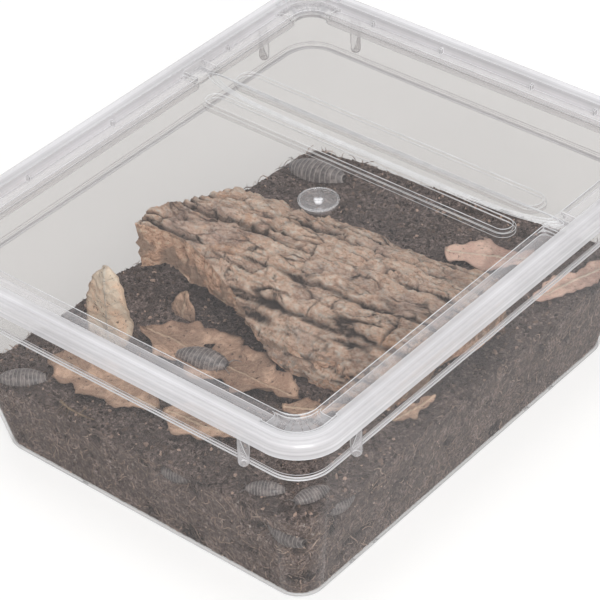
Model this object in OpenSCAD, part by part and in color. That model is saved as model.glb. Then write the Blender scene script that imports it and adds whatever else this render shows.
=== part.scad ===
// Clear plastic keeper for small invertebrates, with its lift-off lid and its set-up:
// a bed of substrate, a slab of cork bark, dry leaves, roots and woodlice.
// Millimetres. X runs along the short front side, Y runs to the back, Z is up.
// The origin is the middle of the tub's base, on the table.

/* [Tub] */
// width of the tub across its base
base_w = 167.2; // [150:0.2:190]
// length of the tub along its base
base_l = 213.6; // [200:0.2:240]
// height of the tub's top edge
tub_h = 104.6; // [98:0.2:130]
// how far each wall leans out between the base and the top edge
wall_lean = 20.2; // [12:0.2:24]
// thickness of the tub's walls
tub_wall = 1.3; // [1:0.1:2]
// thickness of the tub's floor
floor_t = 1.6; // [1.2:0.1:3]
// radius of the upright corners at the base
base_corner_r = 12; // [10:0.5:18]
// radius of the upright corners at the top edge
top_corner_r = 16; // [14:0.5:22]
// rounding of the edge under the base
base_round = 1.8; // [1:0.1:2.5]
// height of the shoulder line that runs round the walls
shoulder_z = 79.8; // [70:0.2:90]
// how far the wall above the shoulder line stands out
shoulder_out = 0.6; // [0.2:0.1:1]
// width of the lip that stands out from the top edge
lip_w = 1.9; // [1.2:0.1:4]
// thickness of that lip
lip_t = 1.4; // [1:0.1:2.4]
// width of the upright ribs beside the corners
rib_w = 4.6; // [3:0.2:7]
// how far the ribs stand out from the top of the wall
rib_out = 0.6; // [0.2:0.1:1.4]
// height of the lower ends of the ribs
rib_z = 81; // [66:0.5:86]
// distance from the base's corners to the ribs on the front and the back
rib_inset_x = 10.6; // [9:0.2:30]
// distance from the base's corners to the ribs on the sides
rib_inset_y = 10.8; // [9:0.2:30]
// width of the small nicks in the edge under the base
nick_w = 2.2; // [1:0.1:4]

/* [Lid] */
// thickness of the lid's plates
lid_t = 1.4; // [1:0.1:2]
// thickness of the lid's upright walls
lid_wall = 1.2; // [0.8:0.1:1.6]
// height of the rim's outer skirt
skirt_h = 7; // [5.5:0.1:10]
// rounding of the rim's outer top edge
rim_round = 3; // [1.5:0.1:3.6]
// clearance between the tub's lip and the skirt
skirt_gap = 0.9; // [0.5:0.1:1.4]
// how far the plug reaches down inside the tub's top edge
plug_depth = 5; // [4.5:0.1:8]
// clearance between the plug and the tub's inner wall
plug_gap = 0.4; // [0.3:0.1:1]
// width of the gutter between the rim and the lid's panel
gutter_w = 8.7; // [6:0.1:11]
// depth of the panel below the rim's top
panel_drop = 1.6; // [1:0.1:2.4]
// depth of the gutter's corners below the rim's top
corner_drop = 3.2; // [2.6:0.1:3.6]
// radius of the panel's corners
panel_corner_r = 10; // [8:0.5:14]
// distance from the rim's inner corners to the ends of the front and back troughs
trough_inset_x = 19.6; // [18:0.2:40]
// distance from the rim's inner corners to the ends of the side troughs
trough_inset_y = 19; // [18:0.2:40]
// rounding of the troughs' ends
trough_end_r = 2.4; // [1:0.1:4]
// distance from the lid's middle to the cross ridge
ridge_y = 40.8; // [34:0.2:56]
// width of the cross ridge
ridge_w = 10.4; // [8:0.2:16]
// height of the cross ridge above the panel
ridge_h = 1.5; // [0.8:0.1:1.6]
// number of steps on the back of the cross ridge
ridge_steps = 3; // [1:1:4]
// sideways place of the ridge
ridge_x = 4; // [-6:0.2:6]
// sideways place of the slots
slot_x = 1.6; // [-6:0.2:6]
// strip of panel between the ends of the slots and the panel's edge
slot_end_gap = 11.4; // [6:0.2:30]
// width of the slot in front of the ridge
front_slot_w = 8.6; // [6:0.2:10]
// width of the slot behind the ridge
back_slot_w = 10.6; // [6:0.2:12]
// depth of the slots
slot_drop = 1.9; // [1:0.1:2.4]
// strip of panel left between the ridge and a slot
slot_land = 0.6; // [0.4:0.1:2]
// diameter of the moulding disc in the panel
gate_d = 17; // [10:0.5:24]
// sideways place of the moulding disc
gate_x = 8.6; // [-20:0.2:20]
// lengthwise place of the moulding disc
gate_y = -1.4; // [-20:0.2:10]
// width of the reliefs along the rim's inner corners
relief_w = 1.6; // [0.8:0.1:2.4]
// depth of those reliefs
relief_drop = 0.7; // [0.3:0.1:1]
// width of the small stiffening fins in the gutter
fin_w = 1; // [0.6:0.1:2]

/* [Set-up] */
// depth of the substrate at the middle of the tub
bed_h = 38.9; // [32:0.1:42]
// fall of the substrate from the front to the back, in degrees
bed_fall = 1.5; // [0:0.1:3]
// rise of the substrate from the left to the right, in degrees
bed_rise = 4.3; // [0:0.1:5]
// height of the substrate's usual mounds
mound_h = 2.4; // [1:0.1:3]
// clearance between the substrate and the tub's walls
bed_gap = 0.4; // [0.3:0.1:1]
// distance from the ends of the cork slab to the walls, when it lies in the middle
bark_gap = 11.6; // [10.4:0.2:24]
// outer radius of the cork slab's arch
bark_r = 46; // [40:0.5:50]
// thickness of the cork slab
bark_t = 19; // [10:0.5:20]
// how far the middle of the arch lies below the substrate's surface
bark_sink = 6; // [4:0.5:14]
// how far the cork slab leans down to the right, in degrees
bark_lean = 4.5; // [0:0.5:6]
// turn of the cork slab seen from above
bark_turn = 6; // [0:0.5:8]
// length of the cork's bark plates
bark_plate_l = 34; // [24:1:44]
// width of the cork's bark plates round the arch
bark_plate_w = 15; // [11:0.5:20]
// how far the thickest bark plates stand out from the cork
bark_plate_rise = 3.4; // [1.5:0.1:4.5]
// width of the furrows between the bark plates
bark_furrow_w = 1.8; // [1:0.1:3]
// height of the hollow's mouth under the slab's front edge
mouth_h = 16; // [8:0.5:18]
// thickness of a dry leaf
leaf_t = 0.8; // [0.6:0.1:1.2]
// thickness of the roots
root_d = 1.4; // [1:0.1:2]
// length of the largest woodlouse
big_louse_l = 29; // [24:0.5:31]
// length of the woodlouse on the leaf
leaf_louse_l = 24; // [18:0.5:27]
// length of the other grown woodlice
louse_l = 20; // [16:0.5:22]
// length of the young woodlice
small_louse_l = 15.6; // [10:0.2:17]
// clearance between a dug-in woodlouse and the substrate
burrow_gap = 0.3; // [0.3:0.1:0.6]

/* [Hidden] */
eps = 0.01;
// smoothness of the leaning walls' corners and of everything round
corner_fn = 64;
round_fn = 72;

// the tub's walls
base_half_w = base_w / 2;
base_half_l = base_l / 2;
function lean(z) = wall_lean * z / tub_h;
function wall_r(z) = base_corner_r + (top_corner_r - base_corner_r) * z / tub_h;
base_edge_in = base_round * (1 - sin(45));
rib_x = base_half_w - rib_inset_x;
rib_y = base_half_l - rib_inset_y;
rib_r = rib_w / 2;
rib_h = tub_h - lip_t - rib_z - rib_r;
rib_web = 1.2;
side_nicks = [-75, -60, 45, 63];
front_nicks = [35];
nick_h = 0.9;
nick_in = 1.6;

// the lid's levels
rim_z = tub_h + lid_t;
panel_z = rim_z - panel_drop;
corner_z = rim_z - corner_drop;
trough_z = tub_h - plug_depth + lid_t;
plug_z = tub_h - plug_depth;
slot_z = panel_z - slot_drop;
skirt_z = rim_z - skirt_h;

// the lid's outlines, each given as how far it lies outside the tub's base, and its corner radius
lip_out = lean(tub_h) + shoulder_out + lip_w;
rim_out = lip_out + skirt_gap + lid_wall;
plug_out = lean(plug_z) + shoulder_out - tub_wall - plug_gap;
inner_out = plug_out - lid_wall;
panel_out = inner_out - gutter_w;
lip_r = top_corner_r + lip_w;
rim_r = lip_r + skirt_gap + lid_wall;
inner_r = wall_r(plug_z) - tub_wall - plug_gap - lid_wall;
// the lip's top edge is eased so that it clears the inside of the rim's rounding
rim_inner_round = rim_round - lid_wall;
lip_clearance = 0.2;
lip_room = sqrt(max(0, pow(rim_inner_round, 2) - pow(rim_round - lid_t, 2)));
lip_ease = max(lip_clearance / 2, rim_inner_round - skirt_gap - lip_room + lip_clearance);
inner_half_w = base_half_w + inner_out;
inner_half_l = base_half_l + inner_out;
panel_half_w = base_half_w + panel_out;
rim_w = rim_out - inner_out;
trough_x = inner_half_w - trough_inset_x;
trough_y = inner_half_l - trough_inset_y;

// the cross ridge and the slots on both sides of it
ridge_back = ridge_y + ridge_w / 2;
ridge_front = ridge_y - ridge_w / 2;
front_slot_y = ridge_front - slot_land - front_slot_w / 2;
back_slot_y = ridge_back + slot_land + back_slot_w / 2;
slot_l = 2 * (panel_half_w - slot_end_gap);
bridge_front = ridge_front + 3.4;
bridge_back = ridge_back + 5.4;
ridge_end_gap = 6.5;
ridge_half_l = inner_half_w - ridge_end_gap;
ridge_sway = 3.4;
ridge_points = 24;
gate_rim = 0.6;
gate_drop = 0.5;
gate_nub_d = 2.2;
gate_nub_gap = 1.5;
gate_nub_h = 0.4;
fin_h = 2.6;
fin_out = 1.8;
front_fins = [-60, -22, 27, 60];
side_fins = [-60, -8, bridge_back + 16.6];

// where the bed's surface meets the walls, in its own frame; what lies on it is placed from these
bed_in = tub_wall + bed_gap;
right = base_half_w + lean(floor_t + bed_h) - bed_in;
left = -right;
back = base_half_l + lean(floor_t + bed_h) - bed_in;
front = -back;

// the cork slab, in the bed's own frame; its outline is in halves of its length and of its width
bark_at = [6, front + 113.9];
bark_l = 2 * (right - bark_gap);
bark_half_w = sqrt(pow(bark_r, 2) - pow(bark_sink, 2));
bark_outline = [[-0.98, -0.52], [-0.84, -0.46], [-0.7, -0.48], [-0.5, -0.58], [-0.25, -0.76], [0, -0.96],
    [0.3, -1], [0.8, -1], [0.83, -0.62], [0.92, -0.36], [1.03, -0.2], [1.06, 0.1], [1.03, 0.42], [0.92, 0.66],
    [0.75, 0.8], [0.5, 0.9], [0.2, 0.94], [-0.1, 0.84], [-0.32, 0.7], [-0.5, 0.6], [-0.64, 0.42],
    [-0.74, 0.2], [-0.8, 0], [-0.88, -0.22], [-0.96, -0.38]];
bark_sides = 96;
bark_core_r = bark_r - bark_plate_rise;
// the bark plates lie in rows along the slab, numbered from its top, and this many plates from its middle
plate_turn = bark_plate_w / bark_r * 180 / PI;
plate_rows = ceil(84 / plate_turn);
plate_columns = ceil(0.6 * bark_l / bark_plate_l);
// slope of a plate's ends, as a width
plate_bevel = 0.8;
// the mouth's roof is level up to the slab's middle and has come down this far to the right of it
mouth_fall = 34;
mouth_end = 50;

// mounds of the substrate in the bed's own frame: place, radius and share of the usual height
mounds = [
    [[left + 12, front + 88], 16, 1.3], [[left + 16, front + 116], 14, 0.8],
    [[left + 14, front + 142], 15, 0.8], [[left + 17, front + 168], 13, 0.9],
    [[left + 42, front + 128], 11, 0.7], [[left + 45, front + 155], 13, 0.8],
    [[left + 50, front + 182], 14, 0.9], [[left + 65, front + 204], 13, 0.7],
    [[left + 78, front + 176], 12, 0.6], [[right - 74, back - 54], 8.5, 0.4],
    [[right - 68, back - 10], 11, 0.5], [[right - 44, back - 11], 12, 0.4],
    [[right - 31, back - 11], 11, 0.4], [[right - 28, back - 50], 8, 0.3],
    [[left + 10, front + 34], 11, 0.8], [[left + 17, front + 62], 13, 0.8],
    [[left + 38, front + 104], 13, 0.7], [[left + 68, front + 110], 13, 0.5],
    [[left + 96, front + 118], 11, 0.4], [[left + 87, front + 8], 8, 0.4],
    [[right - 46, front + 12], 10, 0.4], [[right - 24, front + 37], 14, 0.35],
    [[right - 10, front + 46], 12, 0.3]];
// a mound's flat top as a share of its foot
mound_top = 0.35;
mound_sides = 36;

// leaves: the outline's steps and the depth of its lobes as a share of its width
leaf_steps = 36;
leaf_lobe_depth = 0.2;

root_sides = 24;
root_lift = 0.1;

// woodlice: the back is a string of ring plates, flat underneath
// their width, height and the steps between plates are shares of their length
louse_plates = 11;
louse_width = 0.5;
louse_height = 0.2;
plate_step = 0.0125;
louse_sides = 48;

// dug-in woodlice in the bed's own frame: place, turn and length
burrow_places = [
    [[21, front + 6.9, -8], 18, small_louse_l],
    [[right - 14.5, front + 8.7, -15], -8, louse_l],
    [[right - 6.2, front + 26.9, -9], 76, small_louse_l]];

// a rounded rectangle that lies the given distance outside the tub's base
module outline(out, r) {
    w = base_w + 2 * out;
    l = base_l + 2 * out;
    square([w - 2 * r, l], center = true);
    square([w, l - 2 * r], center = true);
    for (sx = [-1, 1], sy = [-1, 1])
        translate([sx * (w / 2 - r), sy * (l / 2 - r)])
            circle(r = r, $fn = corner_fn);
}

// a plate of that outline between two heights
module plate(out, r, z0, z1) {
    translate([0, 0, z0])
        linear_extrude(z1 - z0)
            outline(out, r);
}

// an upright wall that follows the outline, its outer face on it
module ring_wall(out, r, t, z0, z1) {
    translate([0, 0, z0])
        linear_extrude(z1 - z0)
            difference() {
                outline(out, r);
                outline(out - t, r - t);
            }
}

// a leaning block between two heights; shift moves its sides in or out
module leaning_block(shift, z0, z1) {
    hull() {
        plate(lean(z0) + shift, wall_r(z0) + shift, z0, z0 + eps);
        plate(lean(z1) + shift, wall_r(z1) + shift, z1 - eps, z1);
    }
}

// a bar with round ends, or with rounded corners where the radius is smaller
module bar(l, w, r, z0, z1) {
    translate([0, 0, z0])
        linear_extrude(z1 - z0) {
            square([l - 2 * r, w], center = true);
            square([l, w - 2 * r], center = true);
            for (sx = [-1, 1], sy = [-1, 1])
                translate([sx * (l / 2 - r), sy * (w / 2 - r)])
                    circle(r = r, $fn = round_fn);
        }
}

// ---- tub ----

// an upright rib with a round lower end
module rib() {
    cylinder(h = rib_h, r = rib_r, $fn = round_fn);
    sphere(r = rib_r, $fn = round_fn);
}

module tub_ribs() {
    rib_out_x = base_half_w + lean(tub_h) + shoulder_out + rib_out - rib_r;
    rib_out_y = base_half_l + lean(tub_h) + shoulder_out + rib_out - rib_r;
    for (sx = [-1, 1], sy = [-1, 1]) {
        translate([sx * rib_x, sy * rib_out_y, rib_z + rib_r])
            rib();
        translate([sx * rib_out_x, sy * rib_y, rib_z + rib_r])
            rib();
    }
    // webs that tie the ribs to the leaning walls; the tub's hollow is cut out of them later
    for (sx = [-1, 1])
        translate([sx * rib_x - rib_web / 2, -rib_out_y, rib_z + rib_r])
            cube([rib_web, 2 * rib_out_y, rib_h]);
    for (sy = [-1, 1])
        translate([-rib_out_x, sy * rib_y - rib_web / 2, rib_z + rib_r])
            cube([2 * rib_out_x, rib_web, rib_h]);
}

module tub_outside() {
    hull() {
        plate(-base_round, base_corner_r - base_round, 0, eps);
        plate(-base_edge_in, base_corner_r - base_edge_in, base_edge_in, base_edge_in + eps);
        plate(lean(base_round), wall_r(base_round), base_round, base_round + eps);
        plate(lean(tub_h), wall_r(tub_h), tub_h - eps, tub_h);
    }
    leaning_block(shoulder_out, shoulder_z, tub_h);
    plate(lip_out, lip_r, tub_h - lip_t, tub_h - lip_ease);
    hull() {
        plate(lip_out, lip_r, tub_h - lip_ease - eps, tub_h - lip_ease);
        plate(lip_out - lip_ease, lip_r - lip_ease, tub_h - eps, tub_h);
    }
    tub_ribs();
}

module base_nicks() {
    for (s = [-1, 1], y = side_nicks)
        translate([s * base_half_w, y, 0])
            cube([2 * nick_in, nick_w, 2 * nick_h], center = true);
    for (s = [-1, 1], x = front_nicks)
        translate([s * x, s * base_half_l, 0])
            cube([nick_w, 2 * nick_in, 2 * nick_h], center = true);
}

module tub() {
    color([0.86, 0.87, 0.87, 0.5])
        difference() {
            tub_outside();
            hull() {
                plate(lean(floor_t) - tub_wall, wall_r(floor_t) - tub_wall, floor_t, floor_t + eps);
                plate(lean(tub_h) - tub_wall, wall_r(tub_h) - tub_wall, tub_h + eps, tub_h + 2 * eps);
            }
            leaning_block(shoulder_out - tub_wall, shoulder_z, tub_h + 2 * eps);
            base_nicks();
        }
}

// ---- lid ----

// the rim's section, swept round a rounded rectangle: corners turned, sides drawn straight
module rim_section() {
    translate([rim_r - rim_w, tub_h])
        square([rim_w - rim_round, lid_t]);
    translate([rim_r - lid_wall, skirt_z])
        square([lid_wall, skirt_h - rim_round]);
    intersection() {
        difference() {
            translate([rim_r - rim_round, rim_z - rim_round])
                circle(r = rim_round, $fn = round_fn);
            translate([rim_r - rim_round, rim_z - rim_round])
                circle(r = rim_inner_round, $fn = round_fn);
        }
        translate([rim_r - rim_round, rim_z - rim_round])
            square([rim_round, rim_round]);
    }
}

module rim() {
    side_w = base_w + 2 * rim_out - 2 * rim_r;
    side_l = base_l + 2 * rim_out - 2 * rim_r;
    for (turn = [[side_w, side_l, 0], [side_l, side_w, 90], [side_w, side_l, 180], [side_l, side_w, 270]])
        rotate([0, 0, turn[2]])
            translate([turn[0] / 2, turn[1] / 2, 0]) {
                rotate_extrude(angle = 90, $fn = corner_fn)
                    rim_section();
                rotate([90, 0, 0])
                    linear_extrude(turn[1])
                        rim_section();
            }
}

// the flat part of the rim between the swept edge and the plug
module rim_flat() {
    translate([0, 0, tub_h])
        linear_extrude(lid_t)
            difference() {
                outline(rim_out - rim_round, rim_r - rim_round);
                outline(inner_out, inner_r);
            }
}

module trough_bars(grow, z0, z1) {
    front_l = 2 * trough_x;
    edge_y = inner_half_l - gutter_w / 2;
    edge_x = inner_half_w - gutter_w / 2;
    side_front = trough_y + bridge_front;
    side_back = trough_y - bridge_back;
    for (sy = [-1, 1])
        translate([0, sy * edge_y, 0])
            bar(front_l + 2 * grow, gutter_w + 2 * grow, trough_end_r + grow, z0, z1);
    for (sx = [-1, 1]) {
        translate([sx * edge_x, bridge_front - side_front / 2, 0])
            bar(gutter_w + 2 * grow, side_front + 2 * grow, trough_end_r + grow, z0, z1);
        translate([sx * edge_x, bridge_back + side_back / 2, 0])
            bar(gutter_w + 2 * grow, side_back + 2 * grow, trough_end_r + grow, z0, z1);
    }
}

module slot_bars(grow, z0, z1) {
    translate([slot_x, front_slot_y, 0])
        bar(slot_l + 2 * grow, front_slot_w + 2 * grow, front_slot_w / 2 + grow - eps, z0, z1);
    translate([slot_x, back_slot_y, 0])
        bar(slot_l + 2 * grow, back_slot_w + 2 * grow, back_slot_w / 2 + grow - eps, z0, z1);
}

// the ridge's outline: nearly straight in the middle, running out to a point at both ends
function ridge_half(x) = pow(1 - pow(abs(x) / ridge_half_l, 6), 0.5) * ridge_w / 2;
function ridge_mid(x) = ridge_y + ridge_sway * pow(abs(x) / ridge_half_l, 5);
function ridge_at(i, side, in, end_in) =
    let (x = ridge_half_l * sin(90 * i / ridge_points))
    [ridge_x + x * (1 - end_in / ridge_half_l), ridge_mid(x) + side * ridge_half(x) * (1 - 2 * in / ridge_w)];

module ridge_plan(back_in, front_in, end_in) {
    polygon(concat(
        [for (i = [-ridge_points : ridge_points]) ridge_at(i, -1, front_in, end_in)],
        [for (i = [ridge_points - 1 : -1 : 1 - ridge_points]) ridge_at(i, 1, back_in, end_in)]));
}

module ridge() {
    step_h = ridge_h / ridge_steps;
    step_w = ridge_w / (2 * ridge_steps + 2);
    for (i = [0 : ridge_steps - 1])
        translate([0, 0, panel_z + i * step_h - eps])
            linear_extrude(step_h + eps)
                ridge_plan(i * step_w, i * lid_wall / 4, 2 * i * step_w);
}

module gate_disc() {
    translate([gate_x, gate_y, 0]) {
        translate([0, 0, panel_z - eps])
            difference() {
                cylinder(h = gate_nub_h, d = gate_d, $fn = round_fn);
                translate([0, 0, -1])
                    cylinder(h = 3, d = gate_d - 2 * gate_rim, $fn = round_fn);
            }
        for (s = [-1, 1])
            translate([s * gate_nub_gap / 2, s * gate_nub_gap / 3, panel_z - gate_drop - eps])
                cylinder(h = gate_nub_h + gate_drop, d = gate_nub_d, $fn = round_fn);
    }
}

module gutter_fins() {
    for (s = [-1, 1], x = front_fins)
        translate([s * x - fin_w / 2, s > 0 ? inner_half_l - fin_out : -inner_half_l - eps, trough_z - eps])
            cube([fin_w, fin_out + eps, fin_h]);
    for (s = [-1, 1], y = side_fins)
        translate([s > 0 ? inner_half_w - fin_out : -inner_half_w - eps, y - fin_w / 2, trough_z - eps])
            cube([fin_out + eps, fin_w, fin_h]);
}

// shallow reliefs in the rim's top along its four inner corners
module corner_reliefs() {
    reach_x = base_half_w + rim_out - trough_x;
    reach_y = base_half_l + rim_out - trough_y;
    intersection() {
        plate(inner_out + relief_w, inner_r + relief_w, rim_z - relief_drop, rim_z + 1);
        for (sx = [-1, 1], sy = [-1, 1])
            translate([sx * (trough_x + reach_x / 2), sy * (trough_y + reach_y / 2), rim_z])
                cube([reach_x, reach_y, 4 * lid_t], center = true);
    }
}

module lid_plates() {
    rim();
    rim_flat();
    // plug wall round the gutter, and the wall up to the panel
    ring_wall(plug_out, inner_r + lid_wall, lid_wall, plug_z, tub_h + eps);
    ring_wall(panel_out, panel_corner_r, lid_wall, corner_z - lid_t, panel_z);
    // gutter's corners
    difference() {
        plate(plug_out, inner_r + lid_wall, corner_z - lid_t, corner_z);
        plate(panel_out - lid_wall, panel_corner_r - lid_wall, corner_z - lid_t - 1, corner_z + 1);
    }
    // deep troughs
    intersection() {
        trough_bars(lid_wall, plug_z, corner_z);
        plate(plug_out, inner_r + lid_wall, plug_z, corner_z);
    }
    // panel, with the two bridges beside the ridge
    plate(panel_out, panel_corner_r, panel_z - lid_t, panel_z);
    for (sx = [-1, 1])
        translate([sx * (inner_half_w - gutter_w / 2), (bridge_front + bridge_back) / 2, 0])
            bar(gutter_w + 2 * lid_wall, bridge_back - bridge_front, lid_wall, corner_z - lid_t, panel_z);
    slot_bars(lid_wall, slot_z - lid_t, panel_z - eps);
    ridge();
}

module lid() {
    color([0.88, 0.89, 0.89, 0.5]) {
        difference() {
            lid_plates();
            trough_bars(0, trough_z, panel_z - eps);
            slot_bars(0, slot_z, panel_z + 1);
            translate([gate_x, gate_y, panel_z - gate_drop])
                cylinder(h = 2, d = gate_d - 2 * gate_rim, $fn = round_fn);
            corner_reliefs();
        }
        gutter_fins();
        gate_disc();
    }
}

// ---- set-up ----

// the bed's own frame: its surface is z = 0 there
module on_bed() {
    translate([0, 0, floor_t + bed_h])
        rotate([-bed_fall, -bed_rise, 0])
            children();
}

// a low mound, with its foot just under the bed's surface
module mound(at, r, h) {
    translate([at[0], at[1], -eps])
        cylinder(h = h + eps, r1 = r, r2 = r * mound_top, $fn = mound_sides);
}

module substrate() {
    color([0.23, 0.17, 0.14])
        difference() {
            hull() {
                plate(lean(floor_t) - bed_in, wall_r(floor_t) - bed_in, floor_t, floor_t + eps);
                plate(lean(shoulder_z) - bed_in, wall_r(shoulder_z) - bed_in, shoulder_z - eps, shoulder_z);
            }
            on_bed()
                difference() {
                    translate([-base_w, -base_l, 0])
                        cube([2 * base_w, 2 * base_l, tub_h]);
                    for (mound = mounds)
                        mound(mound[0], mound[1], mound[2] * mound_h);
                }
            for (place = burrow_places)
                burrow(place, burrow_gap);
        }
}

// the middle line of the arch, leaning down to the right: Z runs along it and -X is up
module on_bark_axis() {
    translate([0, 0, -bark_sink])
        rotate([0, 90 + bark_lean, 0])
            children();
}

module bark_tube(r) {
    on_bark_axis()
        cylinder(h = 2 * bark_l, r = r, center = true, $fn = bark_sides);
}

// a fixed scatter of numbers from 0 to 1, one for each pair of counts
function dice(a, b) = let (v = 43.7585 * sin(127.1 * a + 311.7 * b + 74.7)) v - floor(v);

// the turn at which a row of bark plates starts, where a plate starts along the slab, and its rise
function row_start(j) = (j - 0.5 + 0.3 * (dice(j, 40) - 0.5)) * plate_turn;
function plate_start(i, j) = (i - 0.5 + 0.5 * (abs(j) % 2) + 0.4 * (dice(i, j) - 0.5)) * bark_plate_l;
function plate_rise(i, j) = bark_plate_rise * (0.35 + 0.65 * dice(i + 20, j));

// a bark plate: column i along the slab in row j round it
module bark_plate(i, j) {
    gap_turn = bark_furrow_w / bark_r * 180 / PI;
    low = plate_start(i, j) + bark_furrow_w / 2;
    high = plate_start(i + 1, j) - bark_furrow_w / 2;
    top_r = bark_core_r + plate_rise(i, j);
    rotate([0, 0, 180 + row_start(j) + gap_turn / 2])
        rotate_extrude(angle = row_start(j + 1) - row_start(j) - gap_turn, $fn = bark_sides)
            polygon([[bark_core_r - 1, low], [bark_core_r, low], [top_r, low + plate_bevel],
                [top_r, high - plate_bevel], [bark_core_r, high], [bark_core_r - 1, high]]);
}

// an arch of cork under furrowed bark plates, with an irregular outline: it stands on the bed along its back
// edge and at its front right, and the rest of its front edge roofs the mouth of a hollow
module cork_bark() {
    color([0.62, 0.46, 0.33])
        on_bed()
            translate([bark_at[0], bark_at[1], 0])
                rotate([0, 0, bark_turn])
                    difference() {
                        intersection() {
                            union() {
                                bark_tube(bark_core_r);
                                on_bark_axis()
                                    for (j = [-plate_rows : plate_rows], i = [-plate_columns : plate_columns])
                                        bark_plate(i, j);
                            }
                            linear_extrude(2 * bark_r)
                                polygon([for (p = bark_outline) [p[0] * bark_l / 2, p[1] * bark_half_w]]);
                        }
                        bark_tube(bark_r - bark_t);
                        rotate([90, 0, 0])
                            linear_extrude(2 * bark_half_w)
                                polygon([[-bark_l, -1], [mouth_end, -1], [mouth_fall, mouth_h * 0.8],
                                    [0, mouth_h], [-bark_l, mouth_h]]);
                    }
}

function leaf_half(t, wide, lobes) =
    wide / 2 * pow(sin(180 * pow(t, 0.8)), 0.7)
    * (1 + leaf_lobe_depth * cos(360 * lobes * t)) / (1 + leaf_lobe_depth);

function leaf_edge(i, side, long, wide, lobes) =
    [long * (i / leaf_steps - 0.5), side * (leaf_half(i / leaf_steps, wide, lobes) + eps)];

module leaf_plan(long, wide, lobes) {
    polygon(concat(
        [for (i = [0 : leaf_steps]) leaf_edge(i, -1, long, wide, lobes)],
        [for (i = [leaf_steps : -1 : 0]) leaf_edge(i, 1, long, wide, lobes)]));
}

// a leaf that lies on the bed
module lying_leaf(at, turn, long, wide, lobes) {
    color([0.66, 0.48, 0.34])
        on_bed()
            translate([at[0], at[1], 0])
                rotate([0, 0, turn])
                    linear_extrude(leaf_t)
                        leaf_plan(long, wide, lobes);
}

// a leaf that stands up out of the bed; buried is the length that the bed hides
module upright_leaf(at, turn, lean_over, long, wide, buried) {
    color([0.7, 0.5, 0.36])
        on_bed()
            translate([at[0], at[1], 0])
                rotate([0, 0, turn])
                    intersection() {
                        rotate([90, -90 + lean_over, 0])
                            translate([long / 2 - buried, 0, 0])
                                linear_extrude(leaf_t, center = true)
                                    leaf_plan(long, wide, 1);
                        translate([-long, -long, 0])
                            cube(2 * long);
                    }
}

module leaf_front() {
    lying_leaf(at = [left + 53.72, front + 24.9], turn = -3, long = 64, wide = 29, lobes = 4);
}

module leaf_middle() {
    lying_leaf(at = [left + 106.72, front + 25.9], turn = 6, long = 38, wide = 25, lobes = 3);
}

module leaf_centre() {
    lying_leaf(at = [-6, front + 62.9], turn = -3, long = 88, wide = 36, lobes = 4);
}

module leaf_back() {
    lying_leaf(at = [39, back - 35.9], turn = 20, long = 40, wide = 24, lobes = 2);
}

module leaf_side() {
    lying_leaf(at = [right - 9, back - 29.9], turn = 74, long = 48, wide = 17, lobes = 2);
}

module leaf_under_bark() {
    lying_leaf(at = [right - 9.2, front + 81.9], turn = 82, long = 24, wide = 10, lobes = 3);
}

module leaf_corner() {
    lying_leaf(at = [48, front + 59.9], turn = 30, long = 28, wide = 14, lobes = 2);
}

module leaf_standing() {
    upright_leaf(at = [left + 33.72, front + 46.9], turn = 0, lean_over = 5, long = 46, wide = 26, buried = 6);
}

module leaf_leaning() {
    upright_leaf(at = [-44, front + 80.9], turn = -10, lean_over = 16, long = 30, wide = 17, buried = 15);
}

// a root that lies on the bed in an arc
module lying_root(at, turn, r, arc) {
    color([0.7, 0.58, 0.42])
        on_bed()
            translate([at[0], at[1], root_d / 2 + root_lift])
                rotate([0, 0, turn])
                    rotate_extrude(angle = arc, $fn = round_fn)
                        translate([r, 0])
                            circle(d = root_d, $fn = root_sides);
}

module root_long() {
    lying_root(at = [-30, front + 43.9], turn = 250, r = 40, arc = 30);
}

module root_short() {
    lying_root(at = [0, back - 34.9], turn = 60, r = 20, arc = 50);
}

// the radius of the rounded back a share t of the way along it
function back_r(t, long) = long * louse_width / 2 * pow(sin(180 * (0.04 + 0.92 * t)), 0.55);

// a point of the back's outline: e is 0 at a plate's front edge and 1 at its back edge
function back_at(i, e, long, grow) =
    [back_r((i + e) / louse_plates, long) + grow - (1 - e) * plate_step * long,
        long * ((i + e) / louse_plates - 0.5)];

// a woodlouse that lies on z = 0, or the room for one when it is grown
module louse(long, grow) {
    depth = long * (louse_width / 2 - louse_height);
    nose_r = back_at(0, 0, long, grow)[0];
    tail_r = back_at(louse_plates - 1, 1, long, grow)[0];
    intersection() {
        translate([0, 0, -depth])
            rotate([0, 90, 0])
                rotate_extrude($fn = louse_sides)
                    polygon(concat(
                        [[0, -long / 2 - grow], [nose_r, -long / 2 - grow]],
                        [for (i = [0 : louse_plates - 1], e = [0, 1]) back_at(i, e, long, grow)],
                        [[tail_r, long / 2 + grow], [0, long / 2 + grow]]));
        translate([-long, -long, -grow])
            cube([2 * long, 2 * long, long]);
    }
}

// a woodlouse on the bed, or on a leaf that lies there
module bed_louse(at, turn, long, lift = 0) {
    color([0.45, 0.46, 0.48])
        on_bed()
            translate([at[0], at[1], lift])
                rotate([0, 0, turn])
                    louse(long, 0);
}

// a dug-in woodlouse, or the hollow round it when it is grown
module burrow(place, grow) {
    on_bed()
        translate(place[0])
            rotate([0, 0, place[1]])
                louse(place[2], grow);
}

module dug_in(i) {
    color([0.42, 0.43, 0.45])
        burrow(burrow_places[i], 0);
}

module woodlouse_leaf() {
    bed_louse(at = [-13, front + 59.9], turn = 11, long = leaf_louse_l, lift = leaf_t);
}

module woodlouse_back() {
    bed_louse(at = [left + 19.7, back - 20.9], turn = 8, long = big_louse_l);
}

module woodlouse_left() {
    bed_louse(at = [left + 21.7, front + 8.9], turn = 35, long = louse_l);
}

module woodlouse_front() {
    bed_louse(at = [right - 25.7, front + 8.9], turn = 30, long = small_louse_l);
}

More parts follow.
